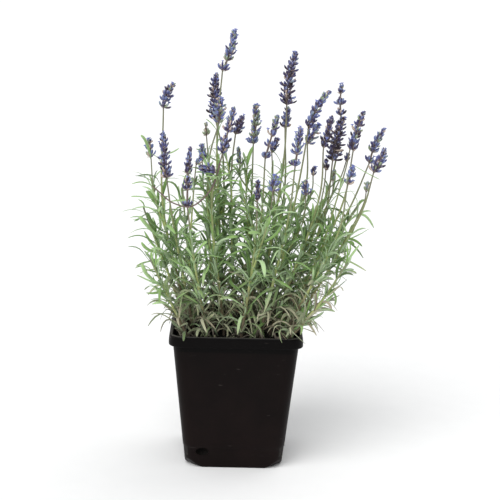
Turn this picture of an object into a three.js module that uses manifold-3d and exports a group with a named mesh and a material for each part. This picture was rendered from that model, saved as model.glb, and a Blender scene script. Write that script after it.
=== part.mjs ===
// Potted lavender in a square black nursery pot.
// Millimetres, +Z up. The origin is the middle of the pot's underside, the front faces -Y.
import * as THREE from 'three';
import Module from 'manifold-3d';

const wasm = await Module();
wasm.setup();
const { Manifold, Mesh: SolidMesh } = wasm;

// ---------------------------------------------------------------- driving dimensions, mm
const POT_HEIGHT = 138;
const RIM_WIDTH = 130;
const RIM_DEPTH = 10.5;
const RIM_CORNER = 13;
const WALL_TOP_WIDTH = 124;
const WALL_BASE_WIDTH = 96;
const WALL_CORNER = 11;
const WALL_THICKNESS = 1.4;
const SKIRT_THICKNESS = 1.6;
const LEDGE_THICKNESS = 1.8;
const FLOOR_FLAT_HALF = 80;
const CORNER_RISE = 0.8;
const DRAIN_SLOT = [13, 8];
const DRAIN_SLOT_PLACE = [-31, 17];
const DRAIN_HOLE_RADIUS = 3.5;
const DRAIN_HOLE_PLACE = 36;
const CORNER_STEPS = 3;

const GAP = 0.3;
const SOIL_LEVEL = 128;
const SOIL_ROUGHNESS = 1.6;
const HOLE_DEPTH = 18;
const STEM_START = SOIL_LEVEL + 5;

const STEM_FOOT_RADIUS = 1.8;
const STALK_RADIUS = 1.1;
const STEM_SIDES = 4;
const LEAF_WIDTH = 4.6;
const LEAF_KEEL = 1.2;
const LEAF_ROOT_HALF = 1.3;
const LEAF_LENGTH = 40;
const LEAF_SPACING = 9.0;
const BUSH_LOW = 150;
const BUSH_HALF_LOW = 84;
const BUSH_SPREAD = 0.42;
const BUSH_LEAN = 0.12;
const BUSH_DEPTH_SHARE = 0.86;
const LEAF_CLEARANCE = 0.5;
const RIM_CLEARANCE = 2;

const FLORET_REACH = 7.6;
const FLORET_RISE = 4.6;
const RING_SPACING = 4;
const LOOSE_WHORL_SPACING = 14;
const HEAD_CORE_RADIUS = 2.1;

// Each flowering stalk: where it leaves the soil, a point on its way up, the base of its
// flower head and the head's tip, then the florets in a whorl and how its whorls stand.
const STALKS = [
  { id: 'a', foot: [-46, -3], mid: [-74, -4, 250], base: [-75, -5, 350], tip: [-65, -5, 374], ring: 5 },
  { id: 'b', foot: [-12, 10], mid: [-23, 12, 320], base: [-19, 15, 385], tip: [-8, 15, 424], ring: 5 },
  { id: 'c', foot: [-16, 23], mid: [-17, 24, 300], base: [-25, 28, 335], tip: [-25, 28, 381], ring: 6 },
  { id: 'd', foot: [-22, -9], mid: [-30, -13, 300], base: [-21, -15, 338], tip: [-20, -15, 363], ring: 5 },
  { id: 'e', foot: [-12, -26], mid: [-26, -31, 268], base: [-17, -38, 312], tip: [-7, -38, 357], ring: 5 },
  { id: 'f', foot: [-2, -2], mid: [-8, 3, 290], base: [-5, 4, 325], tip: [2, 4, 343], ring: 5 },
  { id: 'g', foot: [6, 26], mid: [12, 29, 240], base: [13, 35, 311], tip: [14, 35, 350], ring: 5 },
  { id: 'h', foot: [11, -14], mid: [22, -19, 250], base: [24, -22, 306], tip: [35, -22, 348], ring: 5, loose: true },
  { id: 'i', foot: [21, 2], mid: [43, 2, 305], base: [44, 2, 355], tip: [52, 2, 406], ring: 6 },
  { id: 'j', foot: [24, 24], mid: [45, 26, 265], base: [44, 32, 328], tip: [46, 32, 349], ring: 4 },
  { id: 'k', foot: [31, -11], mid: [59, -12, 290], base: [65, -14, 335], tip: [85, -14, 371], ring: 5 },
  { id: 'l', foot: [33, 12], mid: [66, 15, 275], base: [66, 18, 315], tip: [76, 18, 334], ring: 5 },
  { id: 'm', foot: [42, 27], mid: [93, 28, 285], base: [99, 34, 341], tip: [99, 34, 372], ring: 5, loose: true },
  { id: 'n', foot: [42, 3], mid: [85, 9, 245], base: [91, 12, 299], tip: [100, 12, 343], ring: 6 },
  { id: 'o', foot: [33, -25], mid: [77, -27, 270], base: [79, -32, 319], tip: [86, -32, 350], ring: 5, loose: true },
  { id: 'p', foot: [45, -9], mid: [101, -11, 262], base: [109, -12, 314], tip: [118, -12, 352], ring: 5 },
  { id: 'q', foot: [53, 15], mid: [112, 19, 255], base: [128, 22, 296], tip: [142, 22, 331], ring: 5, loose: true },
  { id: 'r', foot: [53, -21], mid: [118, -25, 255], base: [128, -30, 296], tip: [137, -30, 320], ring: 5 },
  { id: 's', foot: [46, -37], mid: [96, -40, 240], base: [102, -48, 287], tip: [107, -48, 304], ring: 5 },
  { id: 't', foot: [-42, -20], mid: [-64, -25, 245], base: [-70, -30, 286], tip: [-74, -30, 330], ring: 5 },
  { id: 'u', foot: [-29, -38], mid: [-43, -42, 215], base: [-49, -50, 262], tip: [-47, -50, 320], ring: 5, loose: true },
  { id: 'v', foot: [23, -37], mid: [48, -39, 255], base: [52, -46, 303], tip: [56, -46, 340], ring: 5, loose: true },
  { id: 'w', foot: [5, -43], mid: [16, -50, 225], base: [17, -62, 272], tip: [17, -62, 292], ring: 5 },
];

// Side stalks that fork from a stem above: how far up that stem they leave it.
const SIDE_STALKS = [
  { id: 'a2', from: 'a', at: 0.42, mid: [-84, 14, 262], base: [-88, 22, 297], tip: [-90, 22, 315], ring: 4 },
  { id: 'c2', from: 'c', at: 0.5, mid: [-30, 38, 285], base: [-34, 42, 317], tip: [-35, 42, 330], ring: 4 },
  { id: 'b2', from: 'b', at: 0.36, mid: [-35, 9, 268], base: [-37, 12, 297], tip: [-38, 13, 313], ring: 4 },
  { id: 'j2', from: 'j', at: 0.42, mid: [33, 15, 280], base: [31, 12, 306], tip: [36, 12, 321], ring: 4 },
  { id: 'k2', from: 'k', at: 0.34, mid: [62, -25, 245], base: [64, -28, 272], tip: [63, -29, 287], ring: 4 },
  { id: 'w2', from: 'w', at: 0.45, mid: [29, -60, 258], base: [31, -66, 282], tip: [32, -67, 297], ring: 4 },
];

// Shoots without a flower, which fill the bush out to its sides and back.
const SHOOTS = [
  { id: 'shoot_1', foot: [-51, 16], mid: [-72, 10, 190], tip: [-94, 4, 250] },
  { id: 'shoot_2', foot: [-48, -41], mid: [-66, -46, 172], tip: [-84, -52, 212] },
  { id: 'shoot_3', foot: [50, -50], mid: [80, -54, 172], tip: [104, -60, 214] },
  { id: 'shoot_4', foot: [50, 40], mid: [88, 46, 190], tip: [122, 50, 250] },
  { id: 'shoot_5', foot: [-38, 38], mid: [-50, 52, 190], tip: [-58, 62, 262] },
  { id: 'shoot_6', foot: [14, 45], mid: [24, 56, 190], tip: [34, 66, 262] },
];

// ---------------------------------------------------------------- small helpers
function makeRandom(seed) {
  let state = seed;
  return (low, high) => {
    state = (state * 1664525 + 1013904223) % 4294967296;
    return low + (high - low) * (state / 4294967296);
  };
}

function vec(values) {
  return new THREE.Vector3(values[0], values[1], values[2]);
}

// A closed solid through rings of points, ended by flat caps or by one point.
function loft(rings, endPoint) {
  const sides = rings[0].length;
  const points = rings.flat();
  const faces = [];
  for (let r = 0; r + 1 < rings.length; r += 1) {
    for (let k = 0; k < sides; k += 1) {
      const a = r * sides + k;
      const b = r * sides + ((k + 1) % sides);
      faces.push([a, b, b + sides], [a, b + sides, a + sides]);
    }
  }
  for (let k = 1; k + 1 < sides; k += 1) faces.push([0, k + 1, k]);
  const last = (rings.length - 1) * sides;
  if (endPoint) {
    points.push(endPoint);
    for (let k = 0; k < sides; k += 1) {
      faces.push([last + k, last + ((k + 1) % sides), points.length - 1]);
    }
  } else {
    for (let k = 1; k + 1 < sides; k += 1) faces.push([last, last + k, last + k + 1]);
  }
  return solidOf(points, faces);
}

function solidOf(points, faces) {
  let volume = 0;
  for (const [a, b, c] of faces) {
    volume += points[a].dot(new THREE.Vector3().crossVectors(points[b], points[c]));
  }
  const turned = volume < 0 ? faces.map(([a, b, c]) => [a, c, b]) : faces;
  const vertProperties = new Float32Array(points.flatMap((p) => [p.x, p.y, p.z]));
  const triVerts = new Uint32Array(turned.flat());
  return new Manifold(new SolidMesh({ numProp: 3, vertProperties, triVerts }));
}

// The largest body of a solid, with scraps and sealed hollows left out.
function mainBody(solid) {
  const bodies = solid.decompose();
  bodies.sort((p, q) => q.volume() - p.volume());
  return bodies[0];
}

function nodeOf(name, solid, material) {
  const mesh = mainBody(solid.simplify(0.01)).getMesh();
  const geometry = new THREE.BufferGeometry();
  const positions = new Float32Array(mesh.vertProperties);
  geometry.setAttribute('position', new THREE.BufferAttribute(positions, 3));
  geometry.setIndex(new THREE.BufferAttribute(new Uint32Array(mesh.triVerts), 1));
  geometry.computeVertexNormals();
  const node = new THREE.Mesh(geometry, material);
  node.name = name;
  return node;
}

function material(colour, roughness) {
  return new THREE.MeshStandardMaterial({ color: colour, roughness, metalness: 0 });
}

// A ring of points round a place, in the plane across a direction.
function ringAcross(place, side, up, radius, sides, turn) {
  const ring = [];
  for (let k = 0; k < sides; k += 1) {
    const angle = turn + (2 * Math.PI * k) / sides;
    const point = place.clone();
    point.addScaledVector(side, radius * Math.cos(angle));
    point.addScaledVector(up, radius * Math.sin(angle));
    ring.push(point);
  }
  return ring;
}

function frameAcross(direction) {
  const side = new THREE.Vector3(1, 0, 0);
  side.addScaledVector(direction, -side.dot(direction)).normalize();
  const up = new THREE.Vector3().crossVectors(direction, side);
  return { side, up };
}

// ---------------------------------------------------------------- pot and soil
function roundedSquare(half, corner, z) {
  const ring = [];
  for (let q = 0; q < 4; q += 1) {
    for (let k = 0; k <= CORNER_STEPS; k += 1) {
      const angle = ((q + k / CORNER_STEPS) * Math.PI) / 2;
      const centre = ((q + 0.5) * Math.PI) / 2;
      const cx = Math.sign(Math.cos(centre)) * (half - corner);
      const cy = Math.sign(Math.sin(centre)) * (half - corner);
      const x = cx + corner * Math.cos(angle);
      const y = cy + corner * Math.sin(angle);
      ring.push(new THREE.Vector3(x, y, z));
    }
  }
  return ring;
}

function wallHalf(z) {
  const top = WALL_TOP_WIDTH / 2;
  const base = WALL_BASE_WIDTH / 2;
  return base + ((top - base) * z) / POT_HEIGHT;
}

// The tapered inside or outside of the pot, its four bottom corners cut off obliquely.
function taperedBlock(inset, bottom, top) {
  const corner = WALL_CORNER - inset;
  const lower = roundedSquare(wallHalf(bottom) - inset, corner, bottom);
  const upper = roundedSquare(wallHalf(top) - inset, corner, top);
  let block = loft([lower, upper]);
  const size = Math.sqrt(1 + 2 * CORNER_RISE * CORNER_RISE);
  for (const [sx, sy] of [[1, 1], [-1, 1], [-1, -1], [1, -1]]) {
    const normal = [(-sx * CORNER_RISE) / size, (-sy * CORNER_RISE) / size, 1 / size];
    const offset = (-CORNER_RISE * FLOOR_FLAT_HALF) / size + inset;
    block = block.trimByPlane(normal, offset);
  }
  return block;
}

function prism(ring, depth) {
  return loft([ring, ring.map((p) => p.clone().add(depth))]);
}

function potSolid() {
  const bottomOfRim = POT_HEIGHT - RIM_DEPTH;
  const half = RIM_WIDTH / 2;
  const rim = loft([
    roundedSquare(half - 0.7, RIM_CORNER - 0.7, bottomOfRim),
    roundedSquare(half, RIM_CORNER, bottomOfRim + 1),
    roundedSquare(half, RIM_CORNER, POT_HEIGHT - 1),
    roundedSquare(half - 1, RIM_CORNER - 1, POT_HEIGHT),
  ]);
  const fold = half - SKIRT_THICKNESS;
  const underRim = loft([
    roundedSquare(fold, RIM_CORNER - SKIRT_THICKNESS, bottomOfRim - 5),
    roundedSquare(fold, RIM_CORNER - SKIRT_THICKNESS, POT_HEIGHT - LEDGE_THICKNESS),
  ]);
  const outside = rim.subtract(underRim).add(taperedBlock(0, 0, POT_HEIGHT));
  const shell = outside.subtract(taperedBlock(WALL_THICKNESS, WALL_THICKNESS, POT_HEIGHT + 5));
  return shell.subtract(Manifold.union(drainHoles()));
}

function drainHoles() {
  const holes = [];
  for (let q = 0; q < 4; q += 1) {
    const turn = (q * Math.PI) / 2;
    const slot = [];
    for (let k = 0; k < 12; k += 1) {
      const angle = (2 * Math.PI * k) / 12;
      const x = DRAIN_SLOT_PLACE[0] + (DRAIN_SLOT[0] / 2) * Math.cos(angle);
      const z = DRAIN_SLOT_PLACE[1] + (DRAIN_SLOT[1] / 2) * Math.sin(angle);
      const point = new THREE.Vector3(x, -WALL_BASE_WIDTH / 2 - 6, z);
      slot.push(point.applyAxisAngle(new THREE.Vector3(0, 0, 1), turn));
    }
    const inward = new THREE.Vector3(0, 12, 0).applyAxisAngle(new THREE.Vector3(0, 0, 1), turn);
    holes.push(prism(slot, inward));
    const centre = new THREE.Vector3(DRAIN_HOLE_PLACE, DRAIN_HOLE_PLACE, -2);
    centre.applyAxisAngle(new THREE.Vector3(0, 0, 1), turn);
    const across = frameAcross(new THREE.Vector3(0, 0, 1));
    const round = ringAcross(centre, across.side, across.up, DRAIN_HOLE_RADIUS, 8, 0);
    holes.push(prism(round, new THREE.Vector3(0, 0, 12)));
  }
  return holes;
}

// The uneven height of the soil: a few waves of a few centimetres and some lumps.
function soilHeight(x, y) {
  const waves = Math.sin(x * 0.11 + 1.3) * Math.cos(y * 0.13 - 0.4);
  const lumps = Math.sin(x * 0.31 - y * 0.23) * Math.sin(y * 0.37 + 0.8);
  return SOIL_LEVEL + SOIL_ROUGHNESS * (waves + 0.7 * lumps);
}

function soilSolid(feet) {
  const inset = WALL_THICKNESS + GAP;
  const block = taperedBlock(inset, inset, SOIL_LEVEL + 8);
  const cover = [];
  const rings = 5;
  for (let r = rings; r > 0; r -= 1) {
    const half = (wallHalf(SOIL_LEVEL) + 4) * (r / rings);
    cover.push(roundedSquare(half, Math.min(WALL_CORNER, half * 0.6), 0));
  }
  for (const ring of cover) for (const point of ring) point.z = soilHeight(point.x, point.y);
  const lift = cover[0].map((p) => p.clone().setZ(SOIL_LEVEL + 20));
  const middle = new THREE.Vector3(0, 0, soilHeight(0, 0));
  const above = loft([lift, ...cover], middle);
  const holes = feet.map((foot) => {
    const bottom = new THREE.Vector3(foot[0], foot[1], SOIL_LEVEL - HOLE_DEPTH);
    const across = frameAcross(new THREE.Vector3(0, 0, 1));
    const radius = STEM_FOOT_RADIUS + GAP * Math.SQRT2;
    const ring = ringAcross(bottom, across.side, across.up, radius, STEM_SIDES, Math.PI / 4);
    return prism(ring, new THREE.Vector3(0, 0, HOLE_DEPTH + 12));
  });
  return block.subtract(above).subtract(Manifold.union(holes));
}

// ---------------------------------------------------------------- stems
function stemCurve(foot, points) {
  const way = [new THREE.Vector3(foot[0], foot[1], STEM_START), ...points.map(vec)];
  return new THREE.CatmullRomCurve3(way, false, 'centripetal');
}

function placesAlong(curve, steps) {
  return Array.from({ length: steps + 1 }, (_, i) => curve.getPointAt(i / steps));
}

// The way the end of a stalk faces, square to the flower head that it carries.
function headAxis(row) {
  return vec(row.tip).sub(vec(row.base)).normalize();
}

// A square stem with opposite pairs of leaves, each pair a quarter turn from the last one.
// A leaf grows from one facet of the stem, whose corners are the leaf's own root.
function leafyStem(owner, curve, form, random) {
  const length = curve.getLength();
  const pairs = Math.max(1, Math.round(((form.to - form.from) * length) / form.spacing));
  const stations = form.stations.map((t) => ({ t }));
  for (let i = 0; i <= pairs; i += 1) {
    const t = form.from + ((form.to - form.from) * (i + random(-0.2, 0.2))) / (pairs + 0.4);
    const share = i / pairs;
    stations.push({ t: t - LEAF_ROOT_HALF / length, pair: i, share }, { t: t + LEAF_ROOT_HALF / length });
  }
  stations.sort((p, q) => p.t - q.t);
  if (form.upright) stations.unshift({ t: 0, buried: true });
  const points = [];
  const frames = stations.map(({ t, buried }) => {
    const place = curve.getPointAt(t);
    const along = curve.getTangentAt(t);
    if (t === 0 && form.upright) along.set(0, 0, 1);
    if (buried) place.z = SOIL_LEVEL - HOLE_DEPTH + GAP;
    if (t === 1 && form.endAlong) along.copy(form.endAlong);
    const { side, up } = frameAcross(along);
    const radius = form.startRadius + (form.endRadius - form.startRadius) * t;
    points.push(...ringAcross(place, side, up, radius, STEM_SIDES, Math.PI / 4));
    return { place, along, side, up };
  });
  const faces = [];
  const roots = [];
  for (let r = 0; r + 1 < stations.length; r += 1) {
    for (let k = 0; k < STEM_SIDES; k += 1) {
      const a = r * STEM_SIDES + k;
      const b = r * STEM_SIDES + ((k + 1) % STEM_SIDES);
      const root = [a, b + STEM_SIDES, a + STEM_SIDES];
      faces.push([a, b, b + STEM_SIDES]);
      const bears = stations[r].pair !== undefined && (stations[r].pair + k) % 2 === 0;
      if (bears) roots.push({ root, r, k });
      else faces.push(root);
    }
  }
  const skin = [...faces, ...roots.map(({ root }) => root)].map((face) => face.map((n) => points[n]));
  for (const { root, r, k } of roots) {
    const corners = root.map((n) => points[n]);
    const line = leafWithRoom(owner, frames[r], k, corners, form, stations[r], skin, random);
    if (!line) faces.push(root);
    else addLeaf(points, faces, root, line, frames[r].along);
    if (line) skin.push(...leafSkin(corners, leafPoints(line, frames[r].along)));
  }
  const last = (stations.length - 1) * STEM_SIDES;
  faces.push([0, 2, 1], [0, 3, 2], [last, last + 1, last + 2], [last, last + 2, last + 3]);
  return solidOf(points, faces);
}

// The blade is flat above, keeled below and pointed at its tip.
function leafPoints(line, stemAlong) {
  const along = line[2].clone().sub(line[0]).normalize();
  const across = new THREE.Vector3().crossVectors(stemAlong, along).normalize();
  const face = new THREE.Vector3().crossVectors(along, across);
  return [
    line[1].clone().addScaledVector(face, -LEAF_KEEL),
    line[1].clone().addScaledVector(across, LEAF_WIDTH / 2),
    line[1].clone().addScaledVector(across, -LEAF_WIDTH / 2),
    line[2],
  ];
}

// The triangles of a leaf, as corners, from its root to its tip.
function leafSkin(corners, four) {
  return [0, 1, 2].flatMap((k) => {
    const next = (k + 1) % 3;
    const low = [corners[k], corners[next], four[next]];
    return [low, [corners[k], four[next], four[k]], [four[k], four[next], four[3]]];
  });
}

// Whether an edge of one triangle goes through another that it shares no corner with.
function trianglesCross(one, other) {
  if (one.some((p) => other.includes(p))) return false;
  return goesThrough(one, other) || goesThrough(other, one);
}

const _ray = new THREE.Ray();

function goesThrough(one, other) {
  return [0, 1, 2].some((k) => {
    const [from, to] = [one[k], one[(k + 1) % 3]];
    _ray.origin.copy(from);
    _ray.direction.subVectors(to, from).normalize();
    const hit = _ray.intersectTriangle(...other, false, new THREE.Vector3());
    return hit !== null && hit.distanceTo(from) < to.distanceTo(from);
  });
}

function addLeaf(points, faces, root, line, stemAlong) {
  const first = points.length;
  points.push(...leafPoints(line, stemAlong));
  for (let k = 0; k < 3; k += 1) {
    const next = (k + 1) % 3;
    faces.push([root[k], root[next], first + next], [root[k], first + next, first + k]);
    faces.push([first + k, first + next, first + 3]);
  }
}

// ---------------------------------------------------------------- room kept between pieces
const _d1 = new THREE.Vector3();
const _d2 = new THREE.Vector3();
const _r = new THREE.Vector3();

// The least distance between two straight lengths.
function gapBetween(p1, q1, p2, q2) {
  _d1.subVectors(q1, p1);
  _d2.subVectors(q2, p2);
  _r.subVectors(p1, p2);
  const a = _d1.dot(_d1);
  const e = _d2.dot(_d2);
  const f = _d2.dot(_r);
  const b = _d1.dot(_d2);
  const c = _d1.dot(_r);
  const denominator = a * e - b * b;
  let s = denominator > 1e-9 ? (b * f - c * e) / denominator : 0;
  s = Math.min(1, Math.max(0, s));
  let t = (b * s + f) / e;
  if (t < 0 || t > 1) {
    t = Math.min(1, Math.max(0, t));
    s = Math.min(1, Math.max(0, (b * t - c) / a));
  }
  _r.addScaledVector(_d1, s).addScaledVector(_d2, -t);
  return _r.length();
}

const taken = [];

function takeRoom(owner, kind, places, radius) {
  for (let i = 0; i + 1 < places.length; i += 1) {
    taken.push({ owner, kind, p: places[i], q: places[i + 1], radius });
  }
}

// Roots of leaves on one stem may meet; past its root each leaf keeps clear of everything.
function hasRoom(owner, places, radius) {
  for (let i = 0; i + 1 < places.length; i += 1) {
    for (const other of taken) {
      const own = other.owner === owner;
      if (own && other.kind === 'stem' && i === 0) continue;
      if (Math.abs(places[i].x - other.p.x) > 95 || Math.abs(places[i].z - other.p.z) > 95) continue;
      const reach = radius + other.radius + LEAF_CLEARANCE;
      const start = own && i === 0 ? pastRoot(places[0], places[1]) : places[i];
      const from = own && other.kind === 'root' ? pastRoot(other.p, other.q) : other.p;
      if (gapBetween(start, places[i + 1], from, other.q) < reach) return false;
    }
  }
  return true;
}

function pastRoot(start, end) {
  return start.clone().lerp(end, 0.16);
}

// Over the rim, past it or well inside it, and never in the soil.
function clearOfPot(places, radius) {
  const low = radius + RIM_CLEARANCE;
  for (let i = 1; i < places.length; i += 1) {
    for (let k = 1; k <= 4; k += 1) {
      const point = places[i - 1].clone().lerp(places[i], k / 4);
      const out = Math.max(Math.abs(point.x), Math.abs(point.y));
      const inside = out < wallHalf(POT_HEIGHT) - WALL_THICKNESS - low;
      const beyond = out > RIM_WIDTH / 2 + low;
      if (inside && point.z < SOIL_LEVEL + 2.5 * SOIL_ROUGHNESS + low) return false;
      if (!inside && !beyond && point.z < POT_HEIGHT + low) return false;
      if (beyond && point.z < POT_HEIGHT - 22) return false;
    }
  }
  return true;
}

// The bush is narrow over the rim and widens upwards.
function withinBush(places) {
  return places.every((p) => {
    const width = BUSH_HALF_LOW + BUSH_SPREAD * Math.max(0, p.z - BUSH_LOW);
    const depth = width * BUSH_DEPTH_SHARE;
    return Math.abs(p.x - BUSH_LEAN * (p.z - POT_HEIGHT)) < width && Math.abs(p.y) < depth;
  });
}

// ---------------------------------------------------------------- leaves
// The middle line of a leaf: it leaves the stem at a slant and then bends over or up.
function leafLine(start, direction, bend, length) {
  return [0, 0.5, 1].map((s) => {
    const place = start.clone().addScaledVector(direction, length * s);
    return place.addScaledVector(bend, length * s * s);
  });
}

// A leaf is turned, raised or shortened until it stands clear of its neighbours. Low leaves
// spread and hang more than high ones.
function leafWithRoom(owner, frame, facet, corners, form, station, skin, random) {
  const angle = Math.PI / 2 + (facet * Math.PI) / 2;
  const start = corners[0].clone().add(corners[1]).add(corners[2]).divideScalar(3);
  const taper = 1 - 0.4 * station.share * station.share;
  for (let attempt = 0; attempt < 30; attempt += 1) {
    const spread = Math.max(0.5, 1.12 - 0.42 * station.share + random(-0.35, 0.35));
    const round = angle + random(-1, 1) * Math.min(0.6, 0.25 + 0.04 * attempt);
    const length = form.leaf * taper * random(0.85, 1.12) * (attempt > 10 ? 0.75 : 1);
    const outward = new THREE.Vector3().addScaledVector(frame.side, Math.cos(round));
    outward.addScaledVector(frame.up, Math.sin(round));
    const direction = new THREE.Vector3().addScaledVector(frame.along, Math.cos(spread));
    direction.addScaledVector(outward, Math.sin(spread));
    const aside = new THREE.Vector3().crossVectors(frame.along, outward);
    const bend = new THREE.Vector3(0, 0, random(-0.42, 0.2) * (1 - 0.5 * station.share));
    bend.addScaledVector(outward, random(-0.2, 0.25)).addScaledVector(aside, random(-0.22, 0.22));
    const line = leafLine(start, direction, bend, length);
    if (!withinBush(line)) continue;
    if (clearOfPot(line, LEAF_WIDTH / 2) && hasRoom(owner, line, LEAF_WIDTH / 2)) {
      const own = leafSkin(corners, leafPoints(line, frame.along));
      if (own.some((one) => [...skin, ...own].some((other) => trianglesCross(one, other)))) continue;
      takeRoom(owner, 'root', line.slice(0, 2), LEAF_WIDTH / 2);
      takeRoom(owner, 'leaf', line.slice(1), LEAF_WIDTH / 2);
      return line;
    }
  }
  return null;
}

// ---------------------------------------------------------------- flower heads
// The rings of a head from its base up: florets stand out at every other place of a ring,
// and the next ring has them in between. A loose head shows its core between the whorls.
function headRings(row, length) {
  const rings = [{ at: 0, out: 0 }];
  const top = length - FLORET_RISE;
  if (row.loose) {
    const whorls = Math.max(2, Math.round(top / LOOSE_WHORL_SPACING));
    const step = (top - RING_SPACING) / (whorls - 1);
    for (let w = 0; w < whorls; w += 1) {
      const at = 1.2 + (step - 0.4) * w;
      const last = w === whorls - 1;
      const out = (w === 0 ? 0.8 : 1) - 0.25 * (w / (whorls - 1));
      rings.push({ at, out }, { at: at + RING_SPACING, out: out * 0.9 });
      if (!last) rings.push({ at: at + RING_SPACING * 2, out: 0 });
      if (!last) rings.push({ at: at + step - 1.2, out: 0 });
    }
    return rings;
  }
  const count = Math.max(2, Math.round(top / RING_SPACING));
  for (let r = 0; r < count; r += 1) {
    const t = r / (count - 1);
    rings.push({ at: 1.2 + (top - 1.2) * t, out: 1 - 0.45 * t * t - 0.2 * (1 - t) * (1 - t) });
  }
  return rings;
}

// A head in one skin: each floret is a slanted point raised from the four places round it.
function headSolid(row, random) {
  const tip = vec(row.tip);
  const base = vec(row.base);
  const axis = tip.clone().sub(base).normalize();
  const { side, up } = frameAcross(axis);
  const columns = row.ring * 2;
  const rings = headRings(row, tip.distanceTo(base));
  const points = [];
  rings.forEach((ring, r) => {
    const twist = (r === 0 ? 0 : random(-0.12, 0.12));
    for (let k = 0; k < columns; k += 1) {
      const lobe = ring.out > 0 && (k + r) % 2 === 0;
      const core = HEAD_CORE_RADIUS * (1 - 0.3 * (r / rings.length));
      const radius = lobe ? FLORET_REACH * ring.out * random(0.86, 1.1) : core;
      const lift = lobe ? FLORET_RISE * random(0.75, 1.1) : 0;
      const angle = (2 * Math.PI * k) / columns + (lobe ? random(-0.1, 0.1) + twist : 0);
      const point = base.clone().addScaledVector(axis, GAP + ring.at + lift);
      point.addScaledVector(side, radius * Math.cos(angle));
      points.push(point.addScaledVector(up, radius * Math.sin(angle)));
    }
  });
  const faces = [];
  for (let r = 0; r + 1 < rings.length; r += 1) {
    for (let k = 0; k < columns; k += 1) {
      const next = (k + 1) % columns;
      const [a, b] = [r * columns + k, r * columns + next];
      const [c, d] = [b + columns, a + columns];
      if ((k + r) % 2 === 0) faces.push([a, b, d], [b, c, d]);
      else faces.push([a, b, c], [a, c, d]);
    }
  }
  for (let k = 1; k + 1 < columns; k += 1) faces.push([0, k + 1, k]);
  const last = (rings.length - 1) * columns;
  points.push(tip);
  for (let k = 0; k < columns; k += 1) {
    faces.push([last + k, last + ((k + 1) % columns), points.length - 1]);
  }
  return solidOf(points, faces);
}

// ---------------------------------------------------------------- the whole plant
const HEAD_COLOURS = [0x5f5f7a, 0x50506a, 0x6c6c92, 0x74708c];
const LEAF_COLOURS = [0x6d7f57, 0x7d9068, 0x5d6f45, 0x88996f];

const STEM_FORM = {
  from: 0.03, to: 0.62, spacing: LEAF_SPACING, leaf: LEAF_LENGTH, upright: true,
  startRadius: STEM_FOOT_RADIUS, endRadius: STALK_RADIUS, stations: [0, 0.7, 0.8, 0.9, 1],
};
const SIDE_FORM = {
  from: 0.2, to: 0.6, spacing: LEAF_SPACING, leaf: LEAF_LENGTH * 0.7, upright: false,
  startRadius: STALK_RADIUS, endRadius: STALK_RADIUS * 0.9, stations: [0, 0.75, 1],
};
const SHOOT_FORM = {
  from: 0.04, to: 0.985, spacing: LEAF_SPACING, leaf: LEAF_LENGTH, upright: true,
  startRadius: STEM_FOOT_RADIUS, endRadius: STALK_RADIUS * 0.7, stations: [0, 1],
};

function plantNodes() {
  const stems = STALKS.map((row) => ({ row, curve: stemCurve(row.foot, [row.mid, row.base]) }));
  const shoots = SHOOTS.map((row) => ({ row, curve: stemCurve(row.foot, [row.mid, row.tip]) }));
  const sides = SIDE_STALKS.map((row) => {
    const parent = stems.find((stem) => stem.row.id === row.from);
    const way = [parent.curve.getPointAt(row.at), vec(row.mid), vec(row.base)];
    return { row, curve: new THREE.CatmullRomCurve3(way, false, 'centripetal') };
  });
  for (const { row, curve } of [...stems, ...shoots]) {
    takeRoom(row.id, 'stem', placesAlong(curve, 14), STEM_FOOT_RADIUS);
  }
  for (const { row, curve } of sides) {
    takeRoom(row.from, 'stem', placesAlong(curve, 8), STALK_RADIUS + 0.3);
  }
  for (const { row } of [...stems, ...sides]) {
    takeRoom(`head_${row.id}`, 'head', [vec(row.base), vec(row.tip)], FLORET_REACH * 1.1);
  }
  const greens = new Map();
  stems.forEach(({ row, curve }, i) => {
    const form = { ...STEM_FORM, endAlong: headAxis(row) };
    greens.set(row.id, leafyStem(row.id, curve, form, makeRandom(1000 + 77 * i)));
  });
  sides.forEach(({ row, curve }, i) => {
    const form = { ...SIDE_FORM, endAlong: headAxis(row) };
    const twig = leafyStem(row.from, curve, form, makeRandom(5000 + 31 * i));
    greens.set(row.from, greens.get(row.from).add(twig));
  });
  const nodes = [];
  stems.forEach(({ row }, i) => {
    const green = material(LEAF_COLOURS[i % LEAF_COLOURS.length], 0.8);
    nodes.push(nodeOf(`stem_${row.id}`, greens.get(row.id), green));
  });
  shoots.forEach(({ row, curve }, i) => {
    const green = material(LEAF_COLOURS[(i + 1) % LEAF_COLOURS.length], 0.8);
    const solid = leafyStem(row.id, curve, SHOOT_FORM, makeRandom(9000 + 53 * i));
    nodes.push(nodeOf(row.id, solid, green));
  });
  [...stems, ...sides].forEach(({ row }, i) => {
    const violet = material(HEAD_COLOURS[i % HEAD_COLOURS.length], 0.75);
    nodes.push(nodeOf(`head_${row.id}`, headSolid(row, makeRandom(300 + 17 * i)), violet));
  });
  return nodes;
}

const object = new THREE.Group();
object.name = 'potted_lavender';
object.add(nodeOf('pot', potSolid(), material(0x1f1d1d, 0.55)));
const feet = [...STALKS, ...SHOOTS].map((row) => row.foot);
object.add(nodeOf('soil', soilSolid(feet), material(0x2b241d, 0.95)));
for (const node of plantNodes()) object.add(node);

export default object;
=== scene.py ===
# %% [markdown]
# Potted lavender: a bushy herb in a square black nursery pot.
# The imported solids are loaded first. They give every place in metres, with +Z up and the
# origin under the middle of the pot, so each finer piece below goes where its solid is.

# %% Load the frame
import math
from functools import partial

import bpy
import numpy as np
from mathutils import Matrix, Vector


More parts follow.
